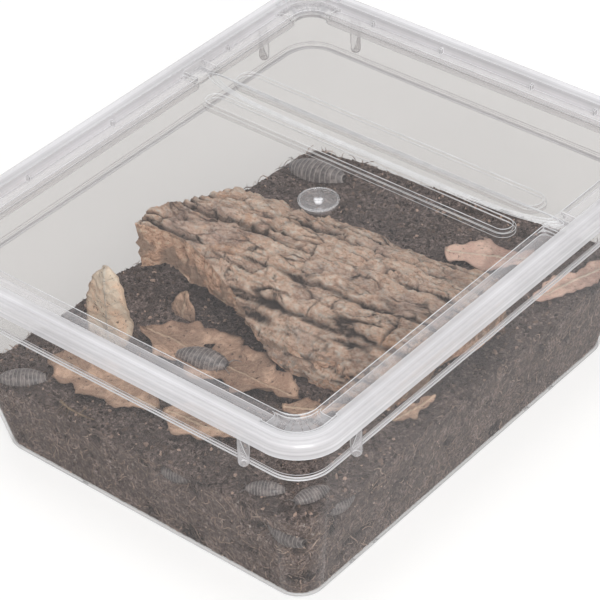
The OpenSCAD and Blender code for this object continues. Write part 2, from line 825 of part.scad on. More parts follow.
module woodlouse_corner() {
    bed_louse(at = [right - 8.7, front + 15.9], turn = 72, long = small_louse_l);
}

module woodlouse_burrow_front() {
    dug_in(0);
}

module woodlouse_burrow_corner() {
    dug_in(1);
}

module woodlouse_burrow_side() {
    dug_in(2);
}

tub();
lid();
substrate();
cork_bark();
leaf_front();
leaf_middle();
leaf_centre();
leaf_back();
leaf_side();
leaf_under_bark();
leaf_corner();
leaf_standing();
leaf_leaning();
root_long();
root_short();
woodlouse_leaf();
woodlouse_back();
woodlouse_left();
woodlouse_front();
woodlouse_corner();
woodlouse_burrow_front();
woodlouse_burrow_corner();
woodlouse_burrow_side();
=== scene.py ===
# Looks of a clear keeper tub for woodlice: moulded polypropylene tub and lid, soil, cork bark, dry leaves,
# roots and woodlice, with the studio and the camera. Shapes are worked out in millimetres and turned into
# metres last.
import math
import random

import bmesh
import bpy
from mathutils import Matrix, Vector, noise


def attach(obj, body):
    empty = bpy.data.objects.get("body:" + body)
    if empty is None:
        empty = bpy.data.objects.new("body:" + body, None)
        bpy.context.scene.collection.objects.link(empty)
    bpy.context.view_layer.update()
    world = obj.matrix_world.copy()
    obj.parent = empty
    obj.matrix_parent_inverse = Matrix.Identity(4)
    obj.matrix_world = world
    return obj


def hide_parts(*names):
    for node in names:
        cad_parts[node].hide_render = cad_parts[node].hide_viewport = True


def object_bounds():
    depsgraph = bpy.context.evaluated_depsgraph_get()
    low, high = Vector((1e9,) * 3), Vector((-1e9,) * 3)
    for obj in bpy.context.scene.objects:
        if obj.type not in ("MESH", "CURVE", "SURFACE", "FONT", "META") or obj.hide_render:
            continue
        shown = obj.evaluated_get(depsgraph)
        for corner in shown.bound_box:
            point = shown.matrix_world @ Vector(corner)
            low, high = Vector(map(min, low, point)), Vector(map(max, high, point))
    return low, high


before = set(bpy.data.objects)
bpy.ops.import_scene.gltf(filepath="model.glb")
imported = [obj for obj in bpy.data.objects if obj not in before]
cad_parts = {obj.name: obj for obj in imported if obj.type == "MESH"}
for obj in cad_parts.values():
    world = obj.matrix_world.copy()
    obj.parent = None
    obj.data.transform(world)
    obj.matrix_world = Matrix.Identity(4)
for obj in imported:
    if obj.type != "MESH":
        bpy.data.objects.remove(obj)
cad_low, cad_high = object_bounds()

MM = 0.001
TAU = 2 * math.pi

# ---- sizes shared with the construction, in millimetres and degrees ----

# the tub: its height, the half sizes of its base, and how far each wall leans out over the height
TUB_H = 104.6
BASE_HALF_W = 83.6
BASE_HALF_L = 106.8
WALL_LEAN = 20.2
WALL = 1.3
FLOOR = 1.6
BASE_CORNER_R = 12.0
TOP_CORNER_R = 16.0
# the bed of soil: its height in the middle, its fall towards the back and its rise towards the right
BED_Z = 40.5
BED_FALL = 1.5
BED_RISE = 4.3
# the bed's four sides
FRONT = -112.92
BACK = 112.92
RIGHT = 89.72
LEFT = -89.72

# from places on the bed to the world's, in millimetres
BED = (Matrix.Translation((0, 0, BED_Z)) @ Matrix.Rotation(math.radians(-BED_RISE), 4, "Y")
       @ Matrix.Rotation(math.radians(-BED_FALL), 4, "X"))
BED_NORMAL = BED.to_3x3() @ Vector((0, 0, 1))


# ---- small helpers ----

def clamp(x, low=0.0, high=1.0):
    return max(low, min(high, x))


def smooth(x, low, high):
    """0 below low, 1 above high, and a soft step between them."""
    t = clamp((x - low) / (high - low))
    return t * t * (3 - 2 * t)


def mix(a, b, t):
    return a + (b - a) * t


def along(points, t):
    """A point of an open polyline, rounded at its corners, for t from 0 to 1."""
    n = len(points) - 1
    k = min(int(t * n), n - 1)
    f = t * n - k
    p0, p1, p2, p3 = (points[clamp(k + d, 0, n)] for d in (-1, 0, 1, 2))
    return tuple(0.5 * (2 * b + (c - a) * f + (2 * a - 5 * b + 4 * c - d) * f * f
                        + (3 * b - a - 3 * c + d) * f ** 3)
                 for a, b, c, d in zip(p0, p1, p2, p3))


def add_object(name, data):
    """A new object in the scene, at the origin."""
    piece = bpy.data.objects.new(name, data)
    bpy.context.scene.collection.objects.link(piece)
    return piece


def mesh_of(name, points, faces):
    """A mesh from points in millimetres."""
    mesh = bpy.data.meshes.new(name)
    mesh.from_pydata([tuple(c * MM for c in p) for p in points], [], faces)
    return mesh


def new_mesh(name, points, faces, marks=None):
    """An object from points in millimetres, with named numbers on its points."""
    mesh = mesh_of(name, points, faces)
    for mark, values in (marks or {}).items():
        mesh.attributes.new(mark, "FLOAT", "POINT").data.foreach_set("value", values)
    mesh.validate()
    mesh.shade_smooth()
    return add_object(name, mesh)


def finish_piece(piece, body, material, replaced=()):
    """Gives a piece its material and the body it rides on, and hides the nodes it stands for."""
    piece.data.materials.clear()
    piece.data.materials.append(material)
    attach(piece, body)
    if replaced:
        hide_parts(*replaced)
    return piece


def second_material(piece, material, first_face):
    """Gives a piece's faces from first_face on another material."""
    piece.data.materials.append(material)
    for face in piece.data.polygons[first_face:]:
        face.material_index = 1


def grid_faces(columns, rows, start=0, flip=False, closed=False):
    """Faces of a grid whose points are stored column by column."""
    faces = []
    for i in range(columns if closed else columns - 1):
        a, b = start + i * rows, start + ((i + 1) % columns) * rows
        for j in range(rows - 1):
            face = (a + j, b + j, b + j + 1, a + j + 1)
            faces.append(face[::-1] if flip else face)
    return faces


def grid_shares(columns, rows):
    """Shares from 0 to 1 along the columns and the rows, for every point of a grid."""
    return [(i / (columns - 1), j / (rows - 1)) for i in range(columns) for j in range(rows)]


def tube(points, radii, sides=6):
    """Points and faces of a round tube along a path, closed at both ends."""
    made, faces = [], []
    n = len(points)
    side = Vector((0.3, 0.2, 1))
    for k, (p, r) in enumerate(zip(points, radii)):
        tangent = (Vector(points[min(k + 1, n - 1)]) - Vector(points[max(k - 1, 0)])).normalized()
        across = tangent.cross(side).normalized()
        up = across.cross(tangent)
        side = up
        for s in range(sides):
            a = TAU * s / sides
            made.append(tuple(Vector(p) + across * (r * math.cos(a)) + up * (r * math.sin(a))))
    for k in range(n - 1):
        for s in range(sides):
            a, b = k * sides + s, k * sides + (s + 1) % sides
            faces.append((a, a + sides, b + sides, b))
    faces.append(tuple(range(sides)))
    faces.append(tuple(range(n * sides - 1, (n - 1) * sides - 1, -1)))
    return made, faces


class Parts:
    """Gathers points, faces and marks of several shapes into one mesh."""

    def __init__(self, *marks):
        self.points, self.faces = [], []
        self.marks = {m: [] for m in marks}

    def add(self, points, faces, **values):
        start = len(self.points)
        self.points += points
        self.faces += [tuple(start + i for i in f) for f in faces]
        for mark, stored in self.marks.items():
            value = values.get(mark, 0.0)
            stored += list(value) if hasattr(value, "__len__") else [value] * len(points)


# ---- node trees ----

def feed(tree, value, socket):
    """Links an output to a socket, or sets the socket to a plain value."""
    if hasattr(value, "is_output"):
        tree.links.new(value, socket)
    else:
        socket.default_value = value


def add_node(tree, kind, inputs=None, **settings):
    """The outputs of a new node; inputs go by name or number and are other outputs or plain values."""
    node = tree.nodes.new(kind)
    for name, value in settings.items():
        setattr(node, name, value)
    for name, value in (inputs or {}).items():
        feed(tree, value, node.inputs[name])
    return node.outputs


def growth_tree(name, surface, inputs, made):
    """A geometry node tree with named inputs, and the outputs that give them."""
    tree = bpy.data.node_groups.new(name, "GeometryNodeTree")
    for label, kind in ((surface, "Geometry"), *inputs, ("Material", "Material")):
        tree.interface.new_socket(label, in_out="INPUT", socket_type="NodeSocket" + kind)
    tree.interface.new_socket(made, in_out="OUTPUT", socket_type="NodeSocketGeometry")
    return tree, add_node(tree, "NodeGroupInput")


def end_growth(tree, geometry, material):
    """Ends a geometry node tree: real geometry with its material."""
    real = add_node(tree, "GeometryNodeRealizeInstances", {0: geometry})[0]
    coated = add_node(tree, "GeometryNodeSetMaterial", {"Geometry": real, "Material": material})[0]
    add_node(tree, "NodeGroupOutput", {0: coated})


# ---- materials ----

# what one face of each clear moulding lets through, its white and the white of the painted highlight on its
# edges, the milk of its sheet, and the milk of its thick parts, which is partly painted highlight
LID_TINT = (0.918, 0.913, 0.909)
TUB_TINT = (0.887, 0.881, 0.877)
BEAD_TINT = (0.985, 0.985, 0.985)
SHEET_WHITE = (0.9, 0.885, 0.905)
BEAD_HIGHLIGHT_WHITE = (0.96, 0.963, 0.975)
LID_MILK = 0.018
TUB_MILK = 0.01
RIM_MILK_AND_HIGHLIGHT = 0.37
PLASTIC_IOR = 1.49


class Nodes:
    """A material's node tree, with short calls for the nodes used here."""

    def __init__(self, name):
        self.material = bpy.data.materials.new(name)
        self.material.use_nodes = True
        self.tree = self.material.node_tree
        self.tree.nodes.clear()
        self.shader = self.tree.nodes.new("ShaderNodeBsdfPrincipled")
        self.end = self.tree.nodes.new("ShaderNodeOutputMaterial").inputs["Surface"]
        self.tree.links.new(self.shader.outputs[0], self.end)
        self.place = self.add("ShaderNodeTexCoord")["Object"]

    def add(self, kind, inputs=None, **settings):
        return add_node(self.tree, kind, inputs, **settings)

    def set(self, **values):
        for name, value in values.items():
            self.shader.inputs[name.replace("_", " ")].default_value = value

    def to(self, name, value):
        feed(self.tree, value, self.shader.inputs[name])

    def scaled(self, scale, turn=(0, 0, 0)):
        return self.add("ShaderNodeMapping", {"Vector": self.place, "Scale": scale, "Rotation": turn})[0]

    def noise(self, scale, detail=6.0, rough=0.6, warp=0.0, vector=None):
        inputs = {"Vector": vector or self.place, "Scale": scale, "Detail": detail, "Roughness": rough,
                  "Distortion": warp}
        return self.add("ShaderNodeTexNoise", inputs)["Fac"]

    def cells(self, scale, feature="F1", vector=None):
        inputs = {"Vector": vector or self.place, "Scale": scale}
        return self.add("ShaderNodeTexVoronoi", inputs, feature=feature)["Distance"]

    def mark(self, name):
        return self.add("ShaderNodeAttribute", attribute_name=name)["Fac"]

    def ramp(self, value, *stops):
        node = self.tree.nodes.new("ShaderNodeValToRGB")
        marks = node.color_ramp.elements
        while len(marks) < len(stops):
            marks.new(0.5)
        for mark, (where, colour) in zip(marks, stops):
            mark.position = where
            mark.color = (*colour, 1)
        feed(self.tree, value, node.inputs["Fac"])
        return node.outputs["Color"]

    def blend(self, share, a, b):
        a, b = ((*c, 1) if isinstance(c, tuple) else c for c in (a, b))
        return self.add("ShaderNodeMix", {0: share, 6: a, 7: b}, data_type="RGBA")[2]

    def math(self, kind, a, b=None, clamped=False):
        inputs = {0: a} if b is None else {0: a, 1: b}
        return self.add("ShaderNodeMath", inputs, operation=kind, use_clamp=clamped)[0]

    def span(self, value, low, high, to_low=0.0, to_high=1.0):
        """A soft step of a value, from to_low below low to to_high above high."""
        inputs = {"Value": value, "From Min": low, "From Max": high, "To Min": to_low, "To Max": to_high}
        return self.add("ShaderNodeMapRange", inputs, interpolation_type="SMOOTHSTEP")[0]

    def height(self, value, depth, strength=1.0, onto=None):
        """Bumps of a depth in metres, over those of another call."""
        inputs = {"Height": value, "Distance": depth, "Strength": strength}
        if onto is not None:
            inputs["Normal"] = onto
        bumps = self.add("ShaderNodeBump", inputs)[0]
        self.to("Normal", bumps)
        return bumps

    def facing(self):
        return self.add("ShaderNodeLayerWeight", {"Blend": 0.5})["Facing"]

    def axes(self):
        return self.add("ShaderNodeSeparateXYZ", {0: self.place})

    def above(self):
        """The point's height over the table, in metres."""
        return self.axes()["Z"]

    def outside(self, half_w, half_l, r):
        """How far the point lies outside an upright rounded rectangle, in metres."""
        axes = self.axes()
        past = [self.math("SUBTRACT", self.math("ABSOLUTE", axes[k]), (half - r) * MM)
                for k, half in ((0, half_w), (1, half_l))]
        squares = [self.math("POWER", self.math("MAXIMUM", q, 0.0), 2.0) for q in past]
        corner = self.math("SQRT", self.math("ADD", *squares))
        straight = self.math("MINIMUM", self.math("MAXIMUM", *past), 0.0)
        return self.math("SUBTRACT", self.math("ADD", corner, straight), r * MM)

    def across(self, value):
        """A vector that changes only with one value."""
        return self.add("ShaderNodeCombineXYZ", {0: value})[0]

    def away(self, x, y, z):
        """The distance from a point given in millimetres, in metres."""
        inputs = {0: self.place, 1: (x * MM, y * MM, z * MM)}
        return self.add("ShaderNodeVectorMath", inputs, operation="DISTANCE")["Value"]

    def over_clear(self, cover, tint):
        """Lays the shader over a clear tinted sheet; cover is how much of the sheet it hides."""
        clear = self.add("ShaderNodeBsdfTransparent", {"Color": (*tint, 1)})[0]
        mixed = self.add("ShaderNodeMixShader", {0: cover, 1: clear, 2: self.shader.outputs[0]})[0]
        self.tree.links.new(mixed, self.end)


def shade(colour, level):
    """A colour at a level of brightness."""
    return tuple(min(1.0, level * c) for c in colour)


def shades(colour, light, levels):
    """A ramp's stops in one colour, from pairs of a place and a level, all in one light."""
    return [(where, shade(colour, light * level)) for where, level in levels]


def clear_plastic(name, rim, milk, tint):
    """Thin polypropylene: a clear, faintly grey sheet, milkier where it is seen along its face.

    rim gives the share, from 0 to 1, of the thick milky parts at each point; their white is partly milk and
    partly painted highlight.
    """
    m = Nodes(name)
    facing = m.facing()
    gloss = m.math("ADD", m.math("MULTIPLY", m.math("POWER", facing, 7.0), 0.55), 0.008)
    cloud = m.span(m.noise(11.0, 4.0, 0.55), 0.3, 0.7, 0.8, 1.25)
    sheet = m.math("MULTIPLY", m.span(facing, 0.25, 0.95, milk, milk * 4), cloud)
    # band: milk of the thick parts, with painted highlight in it
    band = m.math("MULTIPLY", m.span(facing, 0.15, 0.8, RIM_MILK_AND_HIGHLIGHT, RIM_MILK_AND_HIGHLIGHT * 1.9), cloud)
    veil_and_highlight = m.math("ADD", sheet, m.math("MULTIPLY", band, rim(m)))
    cover = m.math("ADD", veil_and_highlight, gloss, clamped=True)
    m.to("Metallic", m.math("DIVIDE", gloss, cover, clamped=True))
    m.set(Base_Color=(*SHEET_WHITE, 1), IOR=PLASTIC_IOR)
    m.to("Roughness", m.span(m.noise(60.0, 4.0), 0.3, 0.7, 0.1, 0.2))
    m.height(m.noise(220.0, 3.0, 0.5), 0.00005, 0.4)
    m.over_clear(cover, tint)
    return m.material


def plastic_edge(name):
    """The eased edges of the mouldings, white with painted highlight for the light they gather, less so
    round the disc.
    """
    m = Nodes(name)
    m.set(Base_Color=(*BEAD_HIGHLIGHT_WHITE, 1), IOR=PLASTIC_IOR)
    m.to("Roughness", m.span(m.noise(80.0, 3.0), 0.3, 0.7, 0.12, 0.3))
    by_disc = m.span(m.away(*DISC), (DISC_R + 1.0) * MM, (DISC_R + 1.6) * MM, 0.3, 1.0)
    streaky = m.span(m.noise(35.0, 3.0), 0.3, 0.7, 0.45, 0.8)
    # painted highlight: a near-white cover along the edges, in streaks
    m.over_clear(m.math("MULTIPLY", streaky, by_disc), BEAD_TINT)
    return m.material


def lid_rim(m):
    """The raised rim, its milk partly painted highlight in streaks that follow it, and the moulding disc
    with a painted highlight on its nub.
    """
    past = m.outside(RIM_HALF_W, RIM_HALF_L, RIM_CORNER_R)
    along_rim = m.math("MULTIPLY", m.math("SUBTRACT", past, m.above()), HIGHLIGHT_STREAK_SCALE)
    # the streaks along the rim are painted highlight
    highlight_streaks = m.noise(1.0, 3.0, 0.6, 0.0, m.across(along_rim))
    rim = m.math("MULTIPLY", m.mark("rim"), m.span(highlight_streaks, 0.34, 0.64, 0.7, 1.3))
    gap = m.away(*DISC)
    disc = m.span(gap, (DISC_R - 0.4) * MM, DISC_R * MM, 0.2, 0.0)
    # painted highlight on the nub
    nub = m.span(gap, 1.4 * MM, 2.2 * MM, 1.6, 0.0)
    return m.math("ADD", rim, m.math("ADD", disc, nub))


def tub_rim(m):
    """The tub's lip, two lines of painted highlight on its shoulder, and the parts that stand out of its
    wall.
    """
    lip = m.span(m.above(), (TUB_H - 6.5) * MM, (TUB_H - 5.5) * MM, 0.0, 0.8)
    gaps = [m.math("ABSOLUTE", m.math("SUBTRACT", m.above(), z * MM)) for z in SHOULDER_HIGHLIGHT_LINES]
    # painted highlight: two thin bright lines along the shoulder
    lines = [m.span(gap, 0.14 * MM, 0.32 * MM, 1.5, 0.0) for gap in gaps]
    return m.math("MAXIMUM", m.math("MAXIMUM", *lines), m.math("MAXIMUM", lip, m.mark("rim")))


SOIL_BROWN = (1.0, 0.77, 0.69)
CRUMB_BROWN = (1.0, 0.72, 0.58)
STRAW = (1.0, 0.74, 0.6)
VOID_SHADE_BLACK = (0.016, 0.013, 0.012)


def soil_material(name, pressed):
    """Damp fibrous soil; where it is pressed against plastic it is lighter, by a higher light level, with
    painted shade, near black, in the voids between clods and in the woodlice's hollows.
    """
    m = Nodes(name)
    light = 3.3 if pressed else 2.0
    grains = m.noise(640.0, 8.0, 0.75, 0.5)
    clods = m.noise(110.0, 5.0, 0.65)
    matted = m.noise(1.0, 6.0, 0.72, 1.4, m.scaled((760, 760, 300), (0.4, 0.7, 0.3)))

    levels = ((0.38, 0.012), (0.48, 0.05), (0.55, 0.13), (0.64, 0.34))
    tone = m.ramp(grains, *shades(SOIL_BROWN, light, levels))
    levels = ((0.4, 0.014), (0.5, 0.07), (0.58, 0.2), (0.66, 0.38))
    strands = m.ramp(matted, *shades(SOIL_BROWN, light, levels))
    tone = m.blend(0.55 if pressed else 0.35, tone, strands)
    tone = m.blend(m.span(clods, 0.42, 0.6, 0.0, 0.62), tone, shade(SOIL_BROWN, light * 0.04))
    if pressed:
        # painted shade: the voids between clods and the woodlice's hollows are painted near black
        tone = m.blend(m.mark("pit"), tone, VOID_SHADE_BLACK)
    m.to("Base Color", tone)
    m.set(Roughness=0.92, Specular_IOR_Level=0.2)
    first = m.height(clods, 0.0012, 0.6)
    m.height(grains, 0.0007, 0.9, first)
    return m.material


def crumb_material(light):
    m = Nodes("crumb")
    levels = ((0.0, 0.018), (0.5, 0.05), (0.8, 0.11), (0.93, 0.25), (1.0, 0.45))
    m.to("Base Color", m.ramp(m.mark("tone"), *shades(CRUMB_BROWN, light, levels)))
    m.set(Roughness=0.9, Specular_IOR_Level=0.2)
    m.height(m.noise(900.0, 5.0, 0.7), 0.0003, 0.8)
    return m.material


def fibre_material(light):
    m = Nodes("soil_fibre")
    own = m.blend(0.35, m.mark("tone"), m.noise(300.0, 2.0))
    levels = ((0.15, 0.05), (0.5, 0.12), (0.75, 0.23), (0.95, 0.45))
    m.to("Base Color", m.ramp(own, *shades(STRAW, light, levels)))
    m.set(Roughness=0.75, Specular_IOR_Level=0.25)
    m.height(m.noise(1500.0, 3.0), 0.00005, 0.6)
    return m.material


def cork_material():
    m = Nodes("cork")
    crack, tone = m.mark("crack"), m.mark("tone")
    grain = m.noise(1.0, 10.0, 0.7, 0.4, m.scaled((300, 520, 520), (0, 0, 0.1)))
    fine = m.noise(1100.0, 6.0, 0.72)
    body = m.ramp(grain, (0.34, (0.56, 0.35, 0.25)), (0.45, (0.92, 0.62, 0.46)), (0.54, (1.0, 0.77, 0.61)),
                  (0.64, (1.0, 0.9, 0.8)))
    grey = m.blend(m.span(m.noise(38.0, 5.0), 0.5, 0.64, 0.0, 0.5), body, (0.66, 0.49, 0.43))
    rusty = m.blend(m.span(m.noise(52.0, 4.0, 0.6, 0.5), 0.6, 0.7, 0.0, 0.55), grey, (0.9, 0.5, 0.29))
    # tone darkens random patches and, as painted shade, the lower flakes and scales
    toned = m.blend(m.span(tone, 0.4, 1.0, 0.0, 0.42), rusty, (0.4, 0.275, 0.23))
    flecked = m.blend(m.span(fine, 0.53, 0.66, 0.0, 0.75), toned, (1.0, 0.84, 0.67))
    pitted = m.blend(m.span(fine, 0.29, 0.41, 0.75, 0.0), flecked, (0.24, 0.165, 0.125))
    # painted shade: near black in the crevices, joints and furrows
    m.to("Base Color", m.blend(crack, pitted, (0.075, 0.054, 0.044)))
    m.set(Roughness=0.88, Specular_IOR_Level=0.25)
    first = m.height(grain, 0.0016, 0.9)
    m.height(fine, 0.0009, 1.0, first)
    return m.material


def cork_inside_material():
    """The broken edge and the hollow of the slab: lighter and more orange than the bark, with dark pits."""
    m = Nodes("cork_inside")
    grain = m.noise(1.0, 8.0, 0.7, 0.6, m.scaled((260, 430, 430)))
    fine = m.noise(1000.0, 5.0, 0.7)
    body = m.ramp(grain, (0.36, (0.3, 0.18, 0.12)), (0.47, (0.74, 0.46, 0.32)), (0.56, (0.98, 0.67, 0.49)),
                  (0.66, (1.0, 0.86, 0.66)))
    barky = m.blend(m.span(m.noise(70.0, 5.0), 0.46, 0.56, 0.0, 0.75), body, (0.36, 0.27, 0.21))
    m.to("Base Color", m.blend(m.span(fine, 0.3, 0.42, 0.85, 0.0), barky, (0.09, 0.058, 0.042)))
    m.set(Roughness=0.9, Specular_IOR_Level=0.2)
    first = m.height(grain, 0.0014, 0.9)
    m.height(fine, 0.0006, 0.9, first)
    return m.material


SPECK_BROWN = (0.06, 0.036, 0.026)


def leaf_material(name, base, dark):
    m = Nodes(name)
    vein, edge = m.mark("vein"), m.mark("edge")
    net = m.cells(1.0, "DISTANCE_TO_EDGE", m.scaled((420, 420, 420)))
    body = m.blend(m.span(m.noise(85.0, 7.0, 0.68, 0.6), 0.42, 0.58), base, dark)
    body = m.blend(m.span(m.noise(38.0, 4.0), 0.48, 0.62, 0.0, 0.7), body, shade(dark, 0.55))
    body = m.blend(m.span(net, 0.0, 0.1, 0.14, 0.0), body, shade(base, 1.4))
    body = m.blend(m.span(m.noise(520.0, 4.0), 0.6, 0.68, 0.0, 0.75), body, SPECK_BROWN)
    body = m.blend(m.span(vein, 0.2, 0.9, 0.0, 0.42), body, shade(base, 1.4))
    m.to("Base Color", m.blend(m.span(edge, 0.8, 1.0, 0.0, 0.6), body, shade(dark, 0.5)))
    m.set(Roughness=0.7, Specular_IOR_Level=0.25)
    first = m.height(vein, 0.0006, 0.8)
    second = m.height(net, 0.0004, 0.7, first)
    m.height(m.noise(700.0, 6.0, 0.7), 0.0003, 0.9, second)
    return m.material


def louse_material():
    m = Nodes("louse_shell")
    mottle = m.noise(380.0, 5.0, 0.6, 0.3)
    body = m.ramp(mottle, (0.36, (0.075, 0.068, 0.07)), (0.5, (0.165, 0.145, 0.142)),
                  (0.66, (0.34, 0.3, 0.285)))
    m.to("Base Color", m.blend(m.span(m.mark("rim"), 0.3, 1.0, 0.0, 0.7), body, (0.55, 0.5, 0.47)))
    m.to("Roughness", m.span(mottle, 0.3, 0.7, 0.3, 0.48))
    m.set(Specular_IOR_Level=0.5, Coat_Weight=0.2, Coat_Roughness=0.25)
    m.height(m.cells(1400.0), 0.00008, 0.7)
    return m.material


def louse_limb_material():
    m = Nodes("louse_limb")
    m.to("Base Color", m.ramp(m.noise(500.0, 3.0), (0.35, (0.11, 0.1, 0.1)), (0.65, (0.32, 0.29, 0.27))))
    m.set(Roughness=0.45)
    m.height(m.noise(1800.0, 2.0), 0.00004, 0.5)
    return m.material


def root_material():
    m = Nodes("root")
    bark = m.noise(1.0, 6.0, 0.6, 0.2, m.scaled((700, 700, 2200)))
    m.to("Base Color", m.ramp(bark, (0.3, (0.14, 0.09, 0.055)), (0.55, (0.34, 0.25, 0.165)),
                              (0.75, (0.55, 0.43, 0.3))))
    m.set(Roughness=0.8)
    m.height(bark, 0.0002, 0.8)
    return m.material


# ---- tub and lid: the construction's own shape, with a bead of plastic along every moulded edge ----

# beads of plastic: their radius and the least angle of the edges that have one
BEAD_R = {"tub": 0.17, "lid": 0.13}
BEAD_ANGLE = 27.0
BEAD_SIDES = 5
# edges sharper than this stay sharp, and plane parts of more square millimetres than this are shaded flat
SMOOTH_ANGLE = 32.0
PLANE_AREA = 350.0
PLANE_DOT = 0.99999
WELD = 2e-6
# the lid's raised rim and its panel, with the gutter between them, the scale of the rim's streaks of painted
# highlight, and the moulding disc
RIM_HALF_W = 100.5
RIM_HALF_L = 123.7
RIM_CORNER_R = 12.0
HIGHLIGHT_STREAK_SCALE = 300.0
PANEL_HALF_W = 91.8
PANEL_HALF_L = 115.0
GUTTER_MILK = 0.45
DISC = (8.6, -1.4, 104.2)
DISC_R = 8.5
# the tub's ribs, which stand this far out of its wall, and the ledge of its shoulder with its two lines of
# painted highlight
RIB_STANDS = 0.9
RIB_MILK = 0.5
LEDGE_Z = 80.1
LEDGE_REACH = 0.9
LEDGE_MILK = 0.1
SHOULDER_HIGHLIGHT_LINES = (79.9, 81.9)


def plane_faces(work):
    """The faces of a mesh that belong to a large plane part, which are shaded flat."""
    large, seen = [], set()
    for face in work.faces:
        if face.index in seen:
            continue
        part, queue = [], [face]
        seen.add(face.index)
        while queue:
            here = queue.pop()
            part.append(here)
            for edge in here.edges:
                for other in edge.link_faces:
                    if other.index not in seen and here.normal.dot(other.normal) > PLANE_DOT:
                        seen.add(other.index)
                        queue.append(other)
        if sum(f.calc_area() for f in part) > PLANE_AREA * MM * MM:
            large += part
    return large


def merged_copy(node, name):
    """A copy of a node's mesh, merged, with smooth rounds, sharp edges and flat plane parts."""
    work = bmesh.new()
    work.from_mesh(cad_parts[node].data)
    bmesh.ops.remove_doubles(work, verts=work.verts, dist=WELD)
    bmesh.ops.dissolve_degenerate(work, dist=WELD, edges=work.edges)
    work.faces.index_update()
    work.normal_update()
    flat = [face.index for face in plane_faces(work)]
    mesh = bpy.data.meshes.new(name)
    work.to_mesh(mesh)
    work.free()
    mesh.shade_smooth()
    mesh.set_sharp_from_angle(angle=math.radians(SMOOTH_ANGLE))
    for k in flat:
        mesh.polygons[k].use_smooth = False
    return add_object(name, mesh)


def bead_tree():
    """Geometry nodes: a round bead along every edge that is sharper than an angle."""
    tree, given = growth_tree("edge_beads", "Shell", (("Angle", "Float"), ("Radius", "Float")), "Beads")
    bend = add_node(tree, "GeometryNodeInputMeshEdgeAngle")["Unsigned Angle"]
    sharp = add_node(tree, "FunctionNodeCompare", {0: bend, 1: given["Angle"]}, data_type="FLOAT",
                     operation="GREATER_THAN")[0]
    line = add_node(tree, "GeometryNodeMeshToCurve", {"Mesh": given["Shell"], "Selection": sharp})[0]
    ring = add_node(tree, "GeometryNodeCurvePrimitiveCircle",
                    {"Resolution": BEAD_SIDES, "Radius": given["Radius"]})["Curve"]
    bead = add_node(tree, "GeometryNodeCurveToMesh",
                    {"Curve": line, "Profile Curve": ring, "Fill Caps": True})[0]
    end_growth(tree, bead, given["Material"])
    return tree


def grow(tree, name, surface, material, **inputs):
    """What a node tree makes from a piece's surface, as a new piece with a plain mesh."""
    piece = add_object(name, surface.data.copy())
    modifier = piece.modifiers.new("grow", "NODES")
    modifier.node_group = tree
    sockets = {s.name: s.identifier for s in tree.interface.items_tree if s.in_out == "INPUT"}
    modifier[sockets["Material"]] = material
    for key, value in inputs.items():
        modifier[sockets[key.replace("_", " ")]] = value
    return as_plain_mesh(piece)


def keep_in_box(piece):
    """Draws in what stands out of the construction's overall box."""
    for v in piece.data.vertices:
        v.co = Vector(min(max(c, low), high) for c, low, high in zip(v.co, cad_low, cad_high))


def as_plain_mesh(piece):
    """The piece with its modifiers worked into its mesh."""
    graph = bpy.context.evaluated_depsgraph_get()
    mesh = bpy.data.meshes.new_from_object(piece.evaluated_get(graph))
    piece.modifiers.clear()
    piece.data = mesh
    return piece


def outside(x, y, half_w, half_l, r):
    """How far a point lies outside a rounded rectangle."""
    dx, dy = abs(x) - (half_w - r), abs(y) - (half_l - r)
    return (math.hypot(dx, dy) if dx > 0 and dy > 0 else max(dx, dy)) - r


def rim_share(x, y, _):
    """1 on the lid's raised rim, a little in the gutter inside it and 0 on the panel."""
    rim = smooth(outside(x, y, RIM_HALF_W, RIM_HALF_L, RIM_CORNER_R), -0.7, 0.1)
    gutter = smooth(outside(x, y, PANEL_HALF_W, PANEL_HALF_L, RIM_CORNER_R), -0.3, 0.3)
    return max(rim, GUTTER_MILK * gutter)


def rib_share(x, y, z):
    """The milky share of the shoulder's ledge and of what stands far out of the wall: ribs and lip."""
    if abs(z - LEDGE_Z) < LEDGE_REACH:
        return LEDGE_MILK
    return RIB_MILK if outside(x, y, *inside(z, -WALL)) > RIB_STANDS else 0.0


def moulded(tree, node, material, edges, share):
    """The tub or the lid, which is also its body's name, with its beads; share gives each face's milk."""
    shell = merged_copy(node, node + "_shell")
    rim = shell.data.attributes.new("rim", "FLOAT", "FACE")
    rim.data.foreach_set("value", [share(*(c / MM for c in face.center)) for face in shell.data.polygons])
    finish_piece(shell, node, material, (node,))
    beads = grow(tree, node + "_edges", shell, edges, Angle=math.radians(BEAD_ANGLE),
                 Radius=BEAD_R[node] * MM)
    beads.data.shade_smooth()
    keep_in_box(beads)
    finish_piece(beads, node, edges)


# ---- soil ----

# the soil stops this far from the plastic; points across, along and down its surfaces
SOIL_GAP = 0.3
SOIL_COLUMNS = 200
SOIL_ROWS = 250
SIDE_ROWS = 48
UNDER_ROWS = 61
# how far the voids between clods and the dug-in woodlice's hollows go in from the wall
PIT_DEPTH = 1.6
BURROW_DEPTH = 11.0


def inside(z, gap=SOIL_GAP):
    """Half width, half length and corner radius of the tub's hollow at a height."""
    out = WALL_LEAN * z / TUB_H - WALL - gap
    r = mix(BASE_CORNER_R, TOP_CORNER_R, z / TUB_H) - WALL - gap
    return BASE_HALF_W + out, BASE_HALF_L + out, r


def rounded(u, v, half_w, half_l, r):
    """A point of a rounded rectangle, for u and v from -1 to 1."""
    x, y = u * half_w, v * half_l
    dx, dy = abs(x) - (half_w - r), abs(y) - (half_l - r)
    if dx > 0 and dy > 0:
        shrink = max(dx, dy) / math.hypot(dx, dy)
        x = math.copysign(half_w - r + dx * shrink, x)
        y = math.copysign(half_l - r + dy * shrink, y)
    return x, y


